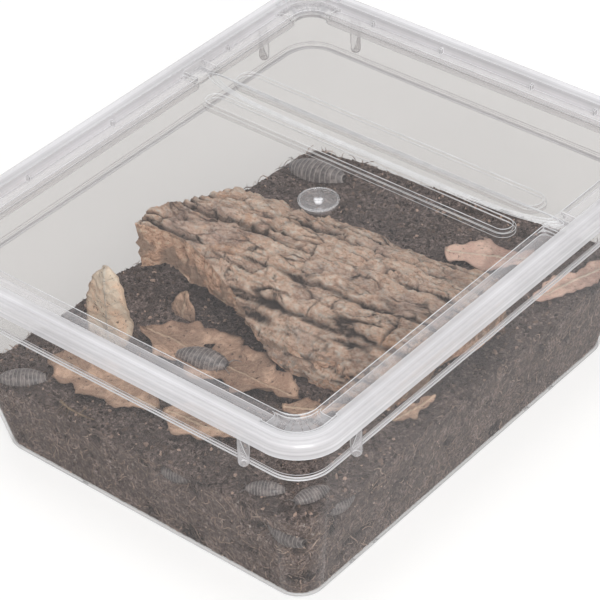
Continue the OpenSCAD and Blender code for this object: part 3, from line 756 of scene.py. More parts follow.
def bed_plane(x, y):
    """Height of the bed's even surface over the table."""
    return BED_Z - (BED_NORMAL.x * x + BED_NORMAL.y * y) / BED_NORMAL.z


def to_bed(x, y, z):
    return BED.inverted() @ Vector((x, y, z))


# what lies on the soil presses it flat: place on the bed and reach
PRESSED = [(-36, FRONT + 24.9, 34), (17, FRONT + 25.9, 21), (-6, FRONT + 62.9, 44), (39, BACK - 35.9, 22),
           (RIGHT - 9, BACK - 29.9, 20), (RIGHT - 9.2, FRONT + 81.9, 13), (48, FRONT + 59.9, 15),
           (LEFT + 19.7, BACK - 20.9, 15), (LEFT + 21.7, FRONT + 8.9, 11), (RIGHT - 25.7, FRONT + 8.9, 9),
           (RIGHT - 8.7, FRONT + 15.9, 9)]
# usual height of a mound of soil and the share of its radius that is level on top
MOUND_H = 2.4
MOUND_TOP = 0.35
# mounds on the bed: place, radius and share of the usual height
MOUNDS = [
    ((LEFT + 12, FRONT + 88), 16, 1.3), ((LEFT + 16, FRONT + 116), 14, 0.8),
    ((LEFT + 14, FRONT + 142), 15, 0.8), ((LEFT + 17, FRONT + 168), 13, 0.9),
    ((LEFT + 42, FRONT + 128), 11, 0.7), ((LEFT + 45, FRONT + 155), 13, 0.8),
    ((LEFT + 50, FRONT + 182), 14, 0.9), ((LEFT + 65, FRONT + 204), 13, 0.7),
    ((LEFT + 78, FRONT + 176), 12, 0.6), ((RIGHT - 74, BACK - 54), 8.5, 0.4),
    ((RIGHT - 68, BACK - 10), 11, 0.5), ((RIGHT - 44, BACK - 11), 12, 0.4),
    ((RIGHT - 31, BACK - 11), 11, 0.4), ((RIGHT - 28, BACK - 50), 8, 0.3),
    ((LEFT + 10, FRONT + 34), 11, 0.8), ((LEFT + 17, FRONT + 62), 13, 0.8),
    ((LEFT + 38, FRONT + 104), 13, 0.7), ((LEFT + 68, FRONT + 110), 13, 0.5),
    ((LEFT + 96, FRONT + 118), 11, 0.4), ((LEFT + 87, FRONT + 8), 8, 0.4),
    ((RIGHT - 46, FRONT + 12), 10, 0.4), ((RIGHT - 24, FRONT + 37), 14, 0.35),
    ((RIGHT - 10, FRONT + 46), 12, 0.3),
]


def mound_height(x, y):
    h = 0.0
    for (mx, my), r, share in MOUNDS:
        away = math.hypot(x - mx, y - my)
        if away < r + 2:
            h = max(h, MOUND_H * share * (1 - smooth(away, r * MOUND_TOP - 1, r + 1.5)))
    return h


def soil_bump(x, y):
    """Unevenness of the soil's surface, in millimetres."""
    p = Vector((x, y, 0))
    h = mound_height(x, y) + 0.7 * noise.fractal(p / 16, 0.9, 2.1, 3)
    h += 0.9 * abs(noise.noise(p / 5.5)) + 0.6 * abs(noise.noise(p / 2.6 + Vector((7, 3, 1))))
    h += 0.4 * noise.noise(p / 1.4) - 0.45
    for px, py, reach in PRESSED:
        near = smooth(math.hypot(x - px, y - py), reach * 0.75, reach)
        h = mix(min(h, 0.15) - 0.1, h, near)
    return h


def soil_surface(u, v):
    x, y = rounded(u, v, *inside(BED_Z))
    flat = bed_plane(x, y)
    x, y = rounded(u, v, *inside(flat))
    return x, y, bed_plane(x, y) + soil_bump(x, y)


def border(columns, rows):
    """Places round the grid's border, in order, as column and row."""
    there = [(i, 0) for i in range(columns)] + [(columns - 1, j) for j in range(1, rows)]
    back = [(i, rows - 1) for i in range(columns - 2, -1, -1)] + [(0, j) for j in range(rows - 2, 0, -1)]
    return there + back


def make_soil_top(material):
    columns, rows = SOIL_COLUMNS, SOIL_ROWS
    points = [soil_surface(mix(-1, 1, s), mix(-1, 1, t)) for s, t in grid_shares(columns, rows)]
    piece = new_mesh("soil_top", points, grid_faces(columns, rows))
    return finish_piece(piece, "tub", material, ("substrate",))


# dug-in woodlice: place on the bed, turn and length; how far each is tipped towards the wall and moved to it
BURROWS = {
    "woodlouse_burrow_front": ((21, FRONT + 6.9, -8), 18, 15.6, 48, 1.2),
    "woodlouse_burrow_corner": ((RIGHT - 14.5, FRONT + 8.7, -15), -8, 20.0, 42, 1.0),
    "woodlouse_burrow_side": ((RIGHT - 6.2, FRONT + 26.9, -9), 76, 15.6, 48, 0.8),
}


def burrow_share(x, y, z):
    """1 in a dug-in woodlouse's hollow and 0 away from it."""
    p = to_bed(x, y, z)
    share = 0.0
    for place, turn, long, _, _ in BURROWS.values():
        d = p - Vector(place)
        if math.hypot(d.x, d.y) < long:
            a = math.radians(turn)
            lengthwise = (d.x * math.cos(a) + d.y * math.sin(a)) / (long * 0.62)
            upright = (d.z - long * 0.08) / (long * 0.27)
            share = max(share, 1 - smooth(math.hypot(lengthwise, upright), 0.8, 1.12))
    return share


def side_pit(x, y, z):
    """How deep a void between the clods goes behind the plastic, from 0 to 1."""
    p = Vector((x, y, z))
    coarse = noise.noise(p / 11) + 0.5 * noise.noise(p / 4.5)
    return smooth(coarse + 0.45 * noise.noise(p / 1.9), 0.22, 0.62)


def make_soil_sides(material):
    columns, rows = SOIL_COLUMNS, SOIL_ROWS
    ring = border(columns, rows)
    points, void_shades = [], []
    floor_z = FLOOR + SOIL_GAP
    for i, j in ring:
        u, v = mix(-1, 1, i / (columns - 1)), mix(-1, 1, j / (rows - 1))
        top = soil_surface(u, v)
        for k in range(SIDE_ROWS):
            z = mix(top[2], floor_z, k / (SIDE_ROWS - 1))
            x, y = rounded(u, v, *inside(z))
            deep = side_pit(x, y, z)
            pocket = burrow_share(x, y, z)
            inward = 0.0 if k in (0, SIDE_ROWS - 1) else PIT_DEPTH * deep + BURROW_DEPTH * pocket
            points.append((*rounded(u, v, *inside(z, SOIL_GAP + inward)), z))
            # the share of painted shade for each point: its void or hollow
            void_shades.append(clamp(deep * 0.85 + pocket))
    faces = grid_faces(len(ring), SIDE_ROWS, closed=True)
    # underside: the same border drawn in to the middle
    faces += grid_faces(UNDER_ROWS, UNDER_ROWS, len(points), flip=True)
    for s, t in grid_shares(UNDER_ROWS, UNDER_ROWS):
        x, y = rounded(mix(-1, 1, s), mix(-1, 1, t), *inside(floor_z))
        points.append((x, y, floor_z))
        void_shades.append(0.6 * side_pit(x, y, floor_z))
    piece = new_mesh("soil_sides", points, faces, {"pit": void_shades})
    return finish_piece(piece, "tub", material)


# ---- scattered soil: one node tree lays crumbs and fibres over a surface ----

CRUMB_KINDS = 5
FIBRE_KINDS = 8
# a fibre's length and the number of parts its path has
FIBRE_L = 6
FIBRE_PARTS = 5
# above the count of any set, so that every piece of it is picked
PICKS = 20
TONE_SEED = 77
# the least gap to the plastic that scattered soil keeps
SCATTER_GAP = 0.05


def crumb_templates():
    """A few rough lumps about one millimetre across."""
    made = []
    rng = random.Random(5)
    for k in range(CRUMB_KINDS):
        work = bmesh.new()
        bmesh.ops.create_icosphere(work, subdivisions=1, radius=0.5 * MM)
        stretch = Vector((rng.uniform(0.8, 1.5), rng.uniform(0.6, 1.0), rng.uniform(0.4, 0.8)))
        for v in work.verts:
            v.co = v.co * stretch * rng.uniform(0.75, 1.25)
        made.append(bpy.data.meshes.new(f"crumb_{k}"))
        work.to_mesh(made[-1])
        work.free()
    return template_set("crumbs", made)


def fibre_templates(flat):
    """A few thin curved strands that lie flat; flat ones are ribbons."""
    made = []
    rng = random.Random(11 + flat)
    shares = [s / FIBRE_PARTS for s in range(FIBRE_PARTS + 1)]
    bulges = [math.sin(math.pi * s / FIBRE_PARTS) for s in range(FIBRE_PARTS + 1)]
    for k in range(FIBRE_KINDS):
        bend, wave = rng.uniform(-1.8, 1.8), rng.uniform(-0.7, 0.7)
        path = [(t * FIBRE_L - FIBRE_L / 2, bend * (1 - (2 * t - 1) ** 2) + wave * math.sin(TAU * t),
                 0.12 * math.sin(5 * t)) for t in shares]
        if flat:
            points = [(x, y + side * (0.08 + 0.1 * bulge), 0.0)
                      for (x, y, _), bulge in zip(path, bulges) for side in (-1, 1)]
            faces = [(2 * n, 2 * n + 2, 2 * n + 3, 2 * n + 1) for n in range(FIBRE_PARTS)]
        else:
            points, faces = tube(path, [0.06 + 0.06 * bulge for bulge in bulges], 3)
        made.append(mesh_of(f"fibre_{flat}_{k}", points, faces))
    return template_set(f"fibres_{flat}", made)


def template_set(name, meshes):
    """A set of shapes outside the scene, from which the scatter picks."""
    group = bpy.data.collections.new(name)
    for mesh in meshes:
        group.objects.link(bpy.data.objects.new(mesh.name, mesh))
    return group


def scatter_tree():
    """Geometry nodes: spread pieces of a set over a surface, turned at random in its plane."""
    inputs = (("Pieces", "Collection"), ("Per Square Metre", "Float"), ("Smallest", "Float"),
              ("Largest", "Float"), ("Tilt", "Float"), ("Seed", "Int"))
    tree, given = growth_tree("scatter", "Surface", inputs, "Scattered")
    seed, tilt = given["Seed"], given["Tilt"]
    spread = add_node(tree, "GeometryNodeDistributePointsOnFaces",
                      {"Mesh": given["Surface"], "Density": given["Per Square Metre"], "Seed": seed})
    pieces = add_node(tree, "GeometryNodeCollectionInfo",
                      {"Collection": given["Pieces"], "Separate Children": True, "Reset Children": True})[0]
    size = add_node(tree, "FunctionNodeRandomValue",
                    {2: given["Smallest"], 3: given["Largest"], "Seed": seed})[1]
    which = add_node(tree, "FunctionNodeRandomValue", {4: 0, 5: PICKS, "Seed": seed}, data_type="INT")[2]
    less = add_node(tree, "ShaderNodeMath", {0: tilt, 1: -1}, operation="MULTIPLY")[0]
    low = add_node(tree, "ShaderNodeCombineXYZ", {"X": less, "Y": less, "Z": -math.pi})[0]
    high = add_node(tree, "ShaderNodeCombineXYZ", {"X": tilt, "Y": tilt, "Z": math.pi})[0]
    spin = add_node(tree, "FunctionNodeRandomValue", {0: low, 1: high, "Seed": seed},
                    data_type="FLOAT_VECTOR")[0]
    own_turn = add_node(tree, "FunctionNodeEulerToRotation", {0: spin})[0]
    turn = add_node(tree, "FunctionNodeRotateRotation", {0: spread["Rotation"], 1: own_turn},
                    rotation_space="LOCAL")[0]
    laid = add_node(tree, "GeometryNodeInstanceOnPoints",
                    {"Points": spread["Points"], "Instance": pieces, "Pick Instance": True,
                     "Instance Index": which, "Rotation": turn, "Scale": size})[0]
    tone = add_node(tree, "FunctionNodeRandomValue", {"Seed": TONE_SEED})[1]
    toned = add_node(tree, "GeometryNodeStoreNamedAttribute",
                     {"Geometry": laid, "Name": "tone", "Value": tone},
                     data_type="FLOAT", domain="INSTANCE")[0]
    end_growth(tree, toned, given["Material"])
    return tree


def keep_in_tub(piece):
    """Draws in what would go through the tub's wall or floor."""
    for v in piece.data.vertices:
        z = max(v.co.z / MM, FLOOR + SCATTER_GAP)
        half_w, half_l, r = inside(z, SCATTER_GAP)
        x, y = v.co.x / MM, v.co.y / MM
        past = outside(x, y, half_w, half_l, r)
        if past > 0:
            middle = Vector((clamp(x, r - half_w, half_w - r), clamp(y, r - half_l, half_l - r)))
            out = Vector((x, y)) - middle
            x, y = middle + out * (1 - past / out.length)
        v.co = (x * MM, y * MM, z * MM)


def make_soil():
    top = make_soil_top(soil_material("soil", False))
    sides = make_soil_sides(soil_material("soil_pressed", True))
    tree, crumbs = scatter_tree(), crumb_templates()
    strands, ribbons = fibre_templates(False), fibre_templates(True)
    # name, surface, set, material and its light, pieces per square metre, smallest, largest, tilt, seed
    for name, surface, pieces, coat, light, density, smallest, largest, tilt, seed in (
            ("soil_crumbs", top, crumbs, crumb_material, 1.5, 150000.0, 0.5, 2.4, 1.5, 3),
            ("soil_top_fibres", top, strands, fibre_material, 1.0, 100000.0, 0.3, 1.1, 0.6, 8),
            ("soil_side_fibres", sides, ribbons, fibre_material, 2.5, 190000.0, 0.4, 1.7, 0.02, 21),
            ("soil_side_crumbs", sides, crumbs, crumb_material, 2.4, 90000.0, 0.3, 1.0, 1.5, 5)):
        material = coat(light)
        piece = grow(tree, name, surface, material, Pieces=pieces, Per_Square_Metre=density,
                     Smallest=smallest, Largest=largest, Tilt=tilt, Seed=seed)
        keep_in_tub(piece)
        finish_piece(piece, "tub", material)


# ---- cork bark ----

# the arched slab: its place and turn on the bed, its radius, how far its axis lies under the bed, its lean
# along the axis, the hollow's radius and the half sizes of its plan
BARK_AT = (6, FRONT + 113.9)
BARK_TURN = 6.0
BARK_R = 46.0
BARK_SINK = 6.0
BARK_LEAN = 4.5
BARK_HOLLOW_R = 27.0
BARK_HALF_L = 78.1
BARK_HALF_W = math.sqrt(BARK_R ** 2 - BARK_SINK ** 2)
# the hollow's low front: its height, where it starts to fall and where it has closed
MOUTH_H = 16.0
MOUTH_FALL = 34.0
MOUTH_END = 50.0
# the four edges of the plan, as shares of the half sizes
BARK_FRONT = [(-0.98, -0.52), (-0.84, -0.46), (-0.7, -0.48), (-0.5, -0.58), (-0.25, -0.76), (0, -0.95),
              (0.3, -0.985), (0.55, -0.985), (0.79, -0.985)]
BARK_BACK = [(-0.64, 0.42), (-0.5, 0.6), (-0.32, 0.7), (-0.1, 0.84), (0.2, 0.93), (0.5, 0.9), (0.75, 0.8),
             (0.92, 0.66)]
BARK_LEFT = [(-0.98, -0.52), (-0.96, -0.38), (-0.88, -0.22), (-0.8, 0), (-0.74, 0.2), (-0.64, 0.42)]
BARK_RIGHT = [(0.79, -0.985), (0.83, -0.62), (0.92, -0.36), (1.02, -0.2), (1.05, 0.1), (1.02, 0.42),
              (0.92, 0.66)]
BARK_COLUMNS = 380
BARK_ROWS = 206
BARK_UNDER_COLUMNS = 150
BARK_UNDER_ROWS = 80
BARK_SIDE_ROWS = 9
# the bark plates: rows round the arch from its top, with staggered plates along each
PLATE_L = 34.0
PLATE_W = 15.0
PLATE_RISE = 3.4
PLATE_TURN = PLATE_W / BARK_R
# the bark never stands further than this over its full radius
BARK_TOP = 0.9
# ledges of the flakes: their height and the share of it over which each one rises
LEDGE_H = 0.66
LEDGE_RISE = 0.3


def bark_plan(s, t):
    """Length and angle round the arch for shares along and across the slab, from its four edges."""
    def edge(points, share):
        x, y = along(points, share)
        return Vector((x * BARK_HALF_L, math.asin(clamp(y * BARK_HALF_W / BARK_R, -0.99, 0.99))))
    f, b = edge(BARK_FRONT, s), edge(BARK_BACK, s)
    l, r = edge(BARK_LEFT, t), edge(BARK_RIGHT, t)
    c00, c10 = edge(BARK_FRONT, 0), edge(BARK_FRONT, 1)
    c01, c11 = edge(BARK_BACK, 0), edge(BARK_BACK, 1)
    corners = (c00 * (1 - s) + c10 * s) * (1 - t) + (c01 * (1 - s) + c11 * s) * t
    return (f * (1 - t) + b * t) + (l * (1 - s) + r * s) - corners


def dice(a, b):
    """A fixed scatter of numbers from 0 to 1, one for each pair of counts."""
    v = 43.7585 * math.sin(math.radians(127.1 * a + 311.7 * b + 74.7))
    return v - math.floor(v)


def row_start(j):
    return (j - 0.5 + 0.3 * (dice(j, 40) - 0.5)) * PLATE_TURN


def plate_start(i, j):
    return (i - 0.5 + 0.5 * (abs(j) % 2) + 0.4 * (dice(i, j) - 0.5)) * PLATE_L


def last_start(start, guess):
    """The count, near a guess, of the last strip that starts at or before 0."""
    count = guess + 1
    while start(count) > 0:
        count -= 1
    return count


def plate_at(a, turn):
    """Rise of the bark plate at a place along and round the slab, and how far its sides and ends are."""
    j = last_start(lambda n: row_start(n) - turn, math.floor(turn / PLATE_TURN + 0.5))
    i = last_start(lambda n: plate_start(n, j) - a, math.floor(a / PLATE_L + 0.5))
    side = min(turn - row_start(j), row_start(j + 1) - turn) * BARK_R
    end = min(a - plate_start(i, j), plate_start(i + 1, j) - a)
    return PLATE_RISE * (0.35 + 0.65 * dice(i + 20, j)), side, end


def terraces(h):
    """A height broken into ledges, and how close the place is to a ledge's edge."""
    whole = math.floor(h / LEDGE_H)
    part = h / LEDGE_H - whole
    ledge = (whole + smooth(part, 0.5 - LEDGE_RISE / 2, 0.5 + LEDGE_RISE / 2)) * LEDGE_H
    return ledge, 1 - abs(part - 0.5) / (LEDGE_RISE / 2 + 0.12)


def ripple(a, b, long, wide, layer):
    """Soft noise from -1 to 1 with waves of a length and a width."""
    return noise.noise(Vector((a / long, b / wide, layer)))


def shingle(a, b, long, wide, layer):
    """Small overlapping flakes: their height and how close the place is to a flake's border."""
    near, centres = noise.voronoi(Vector((a / long, b / wide, layer)))
    tilt = (b / wide - centres[0].y) + 0.6 * (a / long - centres[0].x)
    return noise.noise(centres[0] * 5.1) * 1.6 - 0.45 * tilt, 1 - smooth(near[1] - near[0], 0.02, 0.16)


def bark_relief(a, turn):
    """Height of the bark over its full radius, with the painted shade of its crevices and how dark the place
    is, partly at random and partly as painted shade on its lower flakes.
    """
    b = turn * BARK_R
    p = Vector((a, b, 0))
    a += 3.4 * noise.noise(p / 15) + 1.2 * noise.noise(p / 4.5)
    b += 2.2 * noise.noise(p / 17 + Vector((9, 2, 0))) + 0.9 * noise.noise(p / 4 + Vector((3, 3, 1)))
    rise, side, end = plate_at(a, b / BARK_R)
    # joints between plates, each open only here and there
    open_side = smooth(ripple(a, b, 24, 13, 6), -0.35, 0.1)
    open_end = smooth(ripple(a, b, 14, 14, 16), 0.0, 0.3)
    joint = max((1 - smooth(side, 0.3, 1.7)) * open_side, 0.8 * (1 - smooth(end, 0.2, 1.0)) * open_end)
    slope = smooth(min(side, 1.1 * end), 0, 3.6)
    # ledges, flakes and chips of flakes, and the grit on them
    flakes, edge = terraces(2.4 * noise.fractal(Vector((a / 15, b / 5.0, 1)), 0.52, 2.1, 4)
                            + 1.2 * ripple(a, b, 34, 17, 5))
    scales, gap = shingle(a, b, 15.0, 5.0, 4)
    chips, chip_gap = shingle(a, b, 6.4, 2.1, 9)
    grit = noise.fractal(Vector((a / 2.0, b / 1.1, 3)), 0.6, 2.2, 3)
    # long furrows
    ridge = 1 - abs(ripple(a, b, 48, 7.5, 2)) * 8
    furrow = smooth(ridge, 0.15, 0.9) * smooth(ripple(a, b, 30, 22, 8), -0.08, 0.2)
    h = (mix(0.5 * rise, rise, slope) - PLATE_RISE + 0.62 * flakes + 0.56 * scales + 0.3 * chips
         + 0.26 * grit)
    h -= 1.1 * joint + 1.9 * furrow
    flaw = smooth(ripple(a, b, 9, 6, 21), -0.4, 0.2)
    # painted shade in the joints, furrows, gaps between flakes and edges of ledges
    deep = clamp(0.75 * joint + 0.9 * furrow + 0.7 * flaw * gap * smooth(-scales, -0.7, 0.3)
                 + 0.4 * flaw * chip_gap * smooth(-chips, -0.6, 0.3)
                 + 0.3 * max(0.0, edge) * smooth(-flakes, -0.5, 0.6))
    # darker lower flakes and scales are painted shade; the ripple adds random patches
    dark = clamp(0.45 - 0.25 * flakes - 0.4 * scales + 0.6 * ripple(a, b, 15, 8, 12))
    return min(h, BARK_TOP), deep, dark


def bark_axis(x):
    """Height of the arch's axis over the bed."""
    return -BARK_SINK - x * math.tan(math.radians(BARK_LEAN))


def bark_under(x, y):
    """Height of the slab's underside over the bed."""
    hollow = bark_axis(x) + math.sqrt(max(0.0, BARK_HOLLOW_R ** 2 - y * y))
    if x > MOUTH_FALL:
        roof = mix(MOUTH_H * 0.8, -1.5, smooth(x, MOUTH_FALL, MOUTH_END))
    else:
        roof = mix(MOUTH_H, MOUTH_H * 0.8, clamp(x / MOUTH_FALL))
    return max(hollow, roof, -1.5) if y < 0 else max(hollow, -1.5)


def bark_to_world(x, y, z):
    turn = Matrix.Translation((*BARK_AT, 0)) @ Matrix.Rotation(math.radians(BARK_TURN), 4, "Z")
    return tuple(BED @ turn @ Vector((x, y, z)))


def bark_top(s, t):
    """A point of the slab's outer face for shares along and across it, with its painted crevice shade and
    its tone, which holds painted shade too.
    """
    x, angle = bark_plan(s, t)
    lean = math.radians(BARK_LEAN)
    lift, deep, tone = bark_relief(x / math.cos(lean) - BARK_R * math.cos(angle) * math.sin(lean), -angle)
    rim = min(s, 1 - s, t, 1 - t)
    r = BARK_R + mix(min(lift, -0.6) - 0.8, lift, smooth(rim, 0, 0.03))
    y, z = r * math.sin(angle), bark_axis(x) + r * math.cos(angle)
    return (x + 0.7 * ripple(x, y, 4, 4, 3), y, max(z, 0.1)), deep, tone


def bark_low(x, y, z):
    """The point of the slab's underside below a point of its outer face."""
    low = bark_under(x, y) + 1.2 * ripple(x, y, 9, 9, 6) + 0.4 * ripple(x, y, 2, 2, 1)
    return x, y, min(max(low, 0.1), z - 0.8)


def make_bark(surface, broken):
    columns, rows = BARK_COLUMNS, BARK_ROWS
    outer = [bark_top(s, t) for s, t in grid_shares(columns, rows)]
    tops, crevice_shades, tones_and_shade = (list(values) for values in zip(*outer))
    points = [bark_to_world(*p) for p in tops]
    faces = grid_faces(columns, rows)
    # broken edge: from each point of the border, rows of points down and a little way in under the slab
    downs = []
    for i, j in border(columns, rows):
        downs.append([i * rows + j, *range(len(points), len(points) + BARK_SIDE_ROWS)])
        high = Vector(tops[i * rows + j])
        low = Vector(bark_low(*high))
        outward = Vector((high.x / BARK_HALF_L, high.y / BARK_HALF_W, 0)).normalized()
        for step in range(1, BARK_SIDE_ROWS + 1):
            share = step / BARK_SIDE_ROWS
            p = high.lerp(low, share)
            rough = noise.noise(p / 3.1) + 0.7 * noise.noise(p / 1.3)
            rough += 1.1 * noise.noise(Vector((p.x / 8, p.y / 8, p.z / 1.3)))
            p = p + outward * (1.1 * rough * math.sin(math.pi * share) - 0.3 - 0.9 * smooth(share, 0.85, 1))
            points.append(bark_to_world(*p))
            crevice_shades.append(clamp(0.1 - 0.5 * rough))
            tones_and_shade.append(0.2)
    edge_faces = [(left[k], left[k + 1], right[k + 1], right[k])
                  for left, right in zip(downs, downs[1:] + downs[:1]) for k in range(BARK_SIDE_ROWS)]
    piece = new_mesh("cork_slab", points, faces + edge_faces, {"crack": crevice_shades, "tone": tones_and_shade})
    finish_piece(piece, "tub", surface, ("cork_bark",))
    second_material(piece, broken, len(faces))
    make_bark_under(broken)


def make_bark_under(material):
    columns, rows = BARK_UNDER_COLUMNS, BARK_UNDER_ROWS
    points = [bark_to_world(*bark_low(*bark_top(s, t)[0])) for s, t in grid_shares(columns, rows)]
    piece = new_mesh("cork_underside", points, grid_faces(columns, rows, flip=True),
                     {"crack": [0.3] * len(points)})
    finish_piece(piece, "tub", material)


# ---- leaves ----

LEAF_ALONG = 84
LEAF_ACROSS = 30
LEAF_THICK = 0.3
VEIN_PAIRS = 7


def leaf_half(t, wide, lobes, phase, deep):
    """Width of a leaf's half at a share of its length, with lobes of a depth."""
    body = math.sin(math.pi * clamp(t, 0.0001, 0.9999) ** 0.8) ** 0.7
    return wide / 2 * body * (1 + deep * math.cos(TAU * (lobes * t + phase))) / (1 + deep) + 0.15


def vein_mark(t, v, half, long):
    """How close a place on the leaf is to its midrib or a side vein, from 0 to 1."""
    across = abs(v) * half
    rib = 1 - smooth(across, 0.25, 0.9)
    slant = (t - 0.75 * across / long) * VEIN_PAIRS
    off = abs(slant - round(slant)) * long / VEIN_PAIRS
    side = (1 - smooth(off, 0.1, 0.55)) * (1 - 0.6 * abs(v))
    return max(rib, 0.75 * side)


def leaf_mesh(name, long, wide, lobes, seed, curl, place, deep, bend, holes):
    """A thin curled leaf; curl lifts its edges and place turns leaf millimetres into world ones."""
    shift = Vector((seed * 13.7, seed * 5.1, 0))
    points, veins, edges = [], [], []
    for t, s in grid_shares(LEAF_ALONG + 1, LEAF_ACROSS + 1):
        v = mix(-1, 1, s)
        phase = 0.35 + 0.1 * math.cos(seed) if v > 0 else 0.08 * math.sin(seed)
        half = leaf_half(t, wide, lobes, phase, deep)
        x, y = long * (t - 0.5), v * half
        wave = noise.noise(Vector((x / 13, y / 9, 0)) + shift)
        crisp = noise.noise(Vector((x / 4, y / 4, 2)) + shift)
        wrinkle = (noise.noise(Vector((x / 2.4, y / 2.4, 7)) + shift)
                   + noise.noise(Vector((x / 5, y / 5, 3)) + shift))
        z = 0.9 + curl * (v * v) * wide / 30 * (0.7 + 1.1 * wave) + 0.8 * crisp * abs(v) + 0.42 * wrinkle
        z += bend * (2 * t - 1) ** 2 * (0.4 + 0.6 * wave) + 0.9 * wave
        mark = vein_mark(t, v, half, long)
        z += 0.3 * mark
        y += 1.3 * crisp * abs(v) ** 4
        points.append(place(x, y, max(z, 0.15)))
        veins.append(mark)
        edges.append(max(abs(v), abs(2 * t - 1) ** 4))
    faces = [face for face in grid_faces(LEAF_ALONG + 1, LEAF_ACROSS + 1)
             if not in_hole(face, long, wide, lobes, holes)]
    piece = new_mesh(name, points, faces, {"vein": veins, "edge": edges})
    thick = piece.modifiers.new("thick", "SOLIDIFY")
    thick.thickness = LEAF_THICK * MM
    thick.offset = 0
    as_plain_mesh(piece).data.shade_smooth()
    return piece


def in_hole(face, long, wide, lobes, holes):
    """Whether a leaf's face lies in a round hole, given by its shares along and across and its radius."""
    row = LEAF_ACROSS + 1
    t = sum(k // row for k in face) / 4 / LEAF_ALONG
    v = mix(-1, 1, sum(k % row for k in face) / 4 / LEAF_ACROSS)
    y = v * leaf_half(t, wide, lobes, 0, 0)
    return any(math.hypot((t - ht) * long, y - hv * wide / 2) < r for ht, hv, r in holes)


def on_bed(at, a, x, y, z):
    """The world's place, in millimetres, of a place on the bed that is turned by an angle about another."""
    return tuple(BED @ Vector((at[0] + x * math.cos(a) - y * math.sin(a),
                               at[1] + x * math.sin(a) + y * math.cos(a), z)))


def lying(at, turn, lift=0.0):
    """Turns a lying piece's own millimetres into world ones."""
    a = math.radians(turn)
    return lambda x, y, z: on_bed(at, a, x, y, z + lift)


def upright(at, turn, lean_over, long, buried):
    """Turns a standing leaf's own millimetres into world ones; buried is how much of it is in the soil."""
    a, b = math.radians(turn), math.radians(lean_over)

    def place(x, y, z):
        up = x + long / 2 - buried
        return on_bed(at, a, y * math.cos(b) + up * math.sin(b), z, up * math.cos(b) - y * math.sin(b))
    return place


# node, place, length, width, lobes, curl, colour and holes of each leaf
LEAVES = [
    ("leaf_front", lying((-36, FRONT + 24.9), -3, 0.3), 64, 29, 4, 2.2, "brown", ()),
    ("leaf_middle", lying((17, FRONT + 25.9), 6, 0.3), 38, 25, 3, 1.8, "brown", ()),
    ("leaf_centre", lying((-6, FRONT + 62.9), -3, 0.4), 88, 36, 4, 2.4, "tan",
     ((0.36, 0.45, 2.0), (0.72, 0.1, 0.8))),
    ("leaf_back", lying((39, BACK - 35.9), 20, 0.3), 40, 24, 2, 2.5, "pink", ()),
    ("leaf_side", lying((RIGHT - 9, BACK - 29.9), 74, 0.3), 48, 17, 2, 1.6, "pink", ()),
    ("leaf_under_bark", lying((RIGHT - 9.2, FRONT + 81.9), 82, 0.3), 24, 10, 3, 1.2, "brown", ()),
    ("leaf_corner", lying((48, FRONT + 59.9), 30, 0.3), 28, 14, 2, 2.2, "tan", ()),
    ("leaf_standing", upright((-56, FRONT + 46.9), 0, 5, 46, 6), 46, 26, 1, 2.5, "pale", ()),
    ("leaf_leaning", upright((-44, FRONT + 80.9), -10, 16, 30, 15), 30, 17, 1, 1.5, "brown", ()),
]
# these have shallow lobes and bend less
STANDING = ("leaf_standing", "leaf_leaning")
# colour of each kind of leaf and of its blotches
LEAF_COLOURS = {
    "pale": ((1.0, 0.84, 0.66), (1.0, 0.72, 0.52)),
    "tan": ((0.82, 0.56, 0.41), (0.46, 0.29, 0.205)),
    "brown": ((0.84, 0.58, 0.43), (0.5, 0.33, 0.24)),
    "pink": ((1.0, 0.7, 0.57), (0.85, 0.55, 0.45)),
}


def make_leaves():
    coats = {name: leaf_material("leaf_" + name, *pair) for name, pair in LEAF_COLOURS.items()}
    for k, (node, place, long, wide, lobes, curl, colour, holes) in enumerate(LEAVES):
        deep, bend = (0.05, 1.0) if node in STANDING else (0.22, 2.5)
        piece = leaf_mesh(node + "_blade", long, wide, lobes, k + 1, curl, place, deep, bend, holes)
        finish_piece(piece, "tub", coats[colour], (node,))


# ---- roots ----

ROOT_R = 0.62
ROOT_PARTS = 26
BRANCH_R = 0.2
BRANCH_PARTS = 5


def make_root(node, at, turn, r, arc, material):
    """A thin root in an arc, with a few finer ones that leave it."""
    rng = random.Random(len(node))
    parts = Parts()
    path, radii = [], []
    for k in range(ROOT_PARTS + 1):
        t = k / ROOT_PARTS
        a = math.radians(turn + arc * t)
        wobble = noise.noise(Vector((t * 5, r, 0)))
        x, y = at[0] + (r + wobble) * math.cos(a), at[1] + (r + wobble) * math.sin(a)
        path.append(tuple(BED @ Vector((x, y, 0.9 + 0.5 * wobble))))
        radii.append(ROOT_R * (1 - 0.65 * t) + 0.06 * math.sin(19 * t))
    parts.add(*tube(path, radii, 8))
    for k in range(4, ROOT_PARTS - 3, 4):
        start = Vector(path[k])
        way = Vector((rng.uniform(-1, 1), rng.uniform(-1, 1), rng.uniform(-0.1, 0.2))).normalized()
        bow = Vector((rng.uniform(-1, 1), rng.uniform(-1, 1), 0.2)) * 0.8
        reach = rng.uniform(3, 6)
        branch = [tuple(start + way * (reach * s / BRANCH_PARTS) + bow * (s / BRANCH_PARTS) ** 2)
                  for s in range(BRANCH_PARTS + 1)]
        parts.add(*tube(branch, [BRANCH_R - 0.028 * s for s in range(BRANCH_PARTS + 1)], 5))
    piece = new_mesh(node + "_strand", parts.points, parts.faces)
    finish_piece(piece, "tub", material, (node,))


# ---- woodlice ----

# plates from head to tail, the first of them that belongs to the tail, and the points across one
PLATES = 12
TAIL_FROM = 7
PLATE_COLUMNS = 20
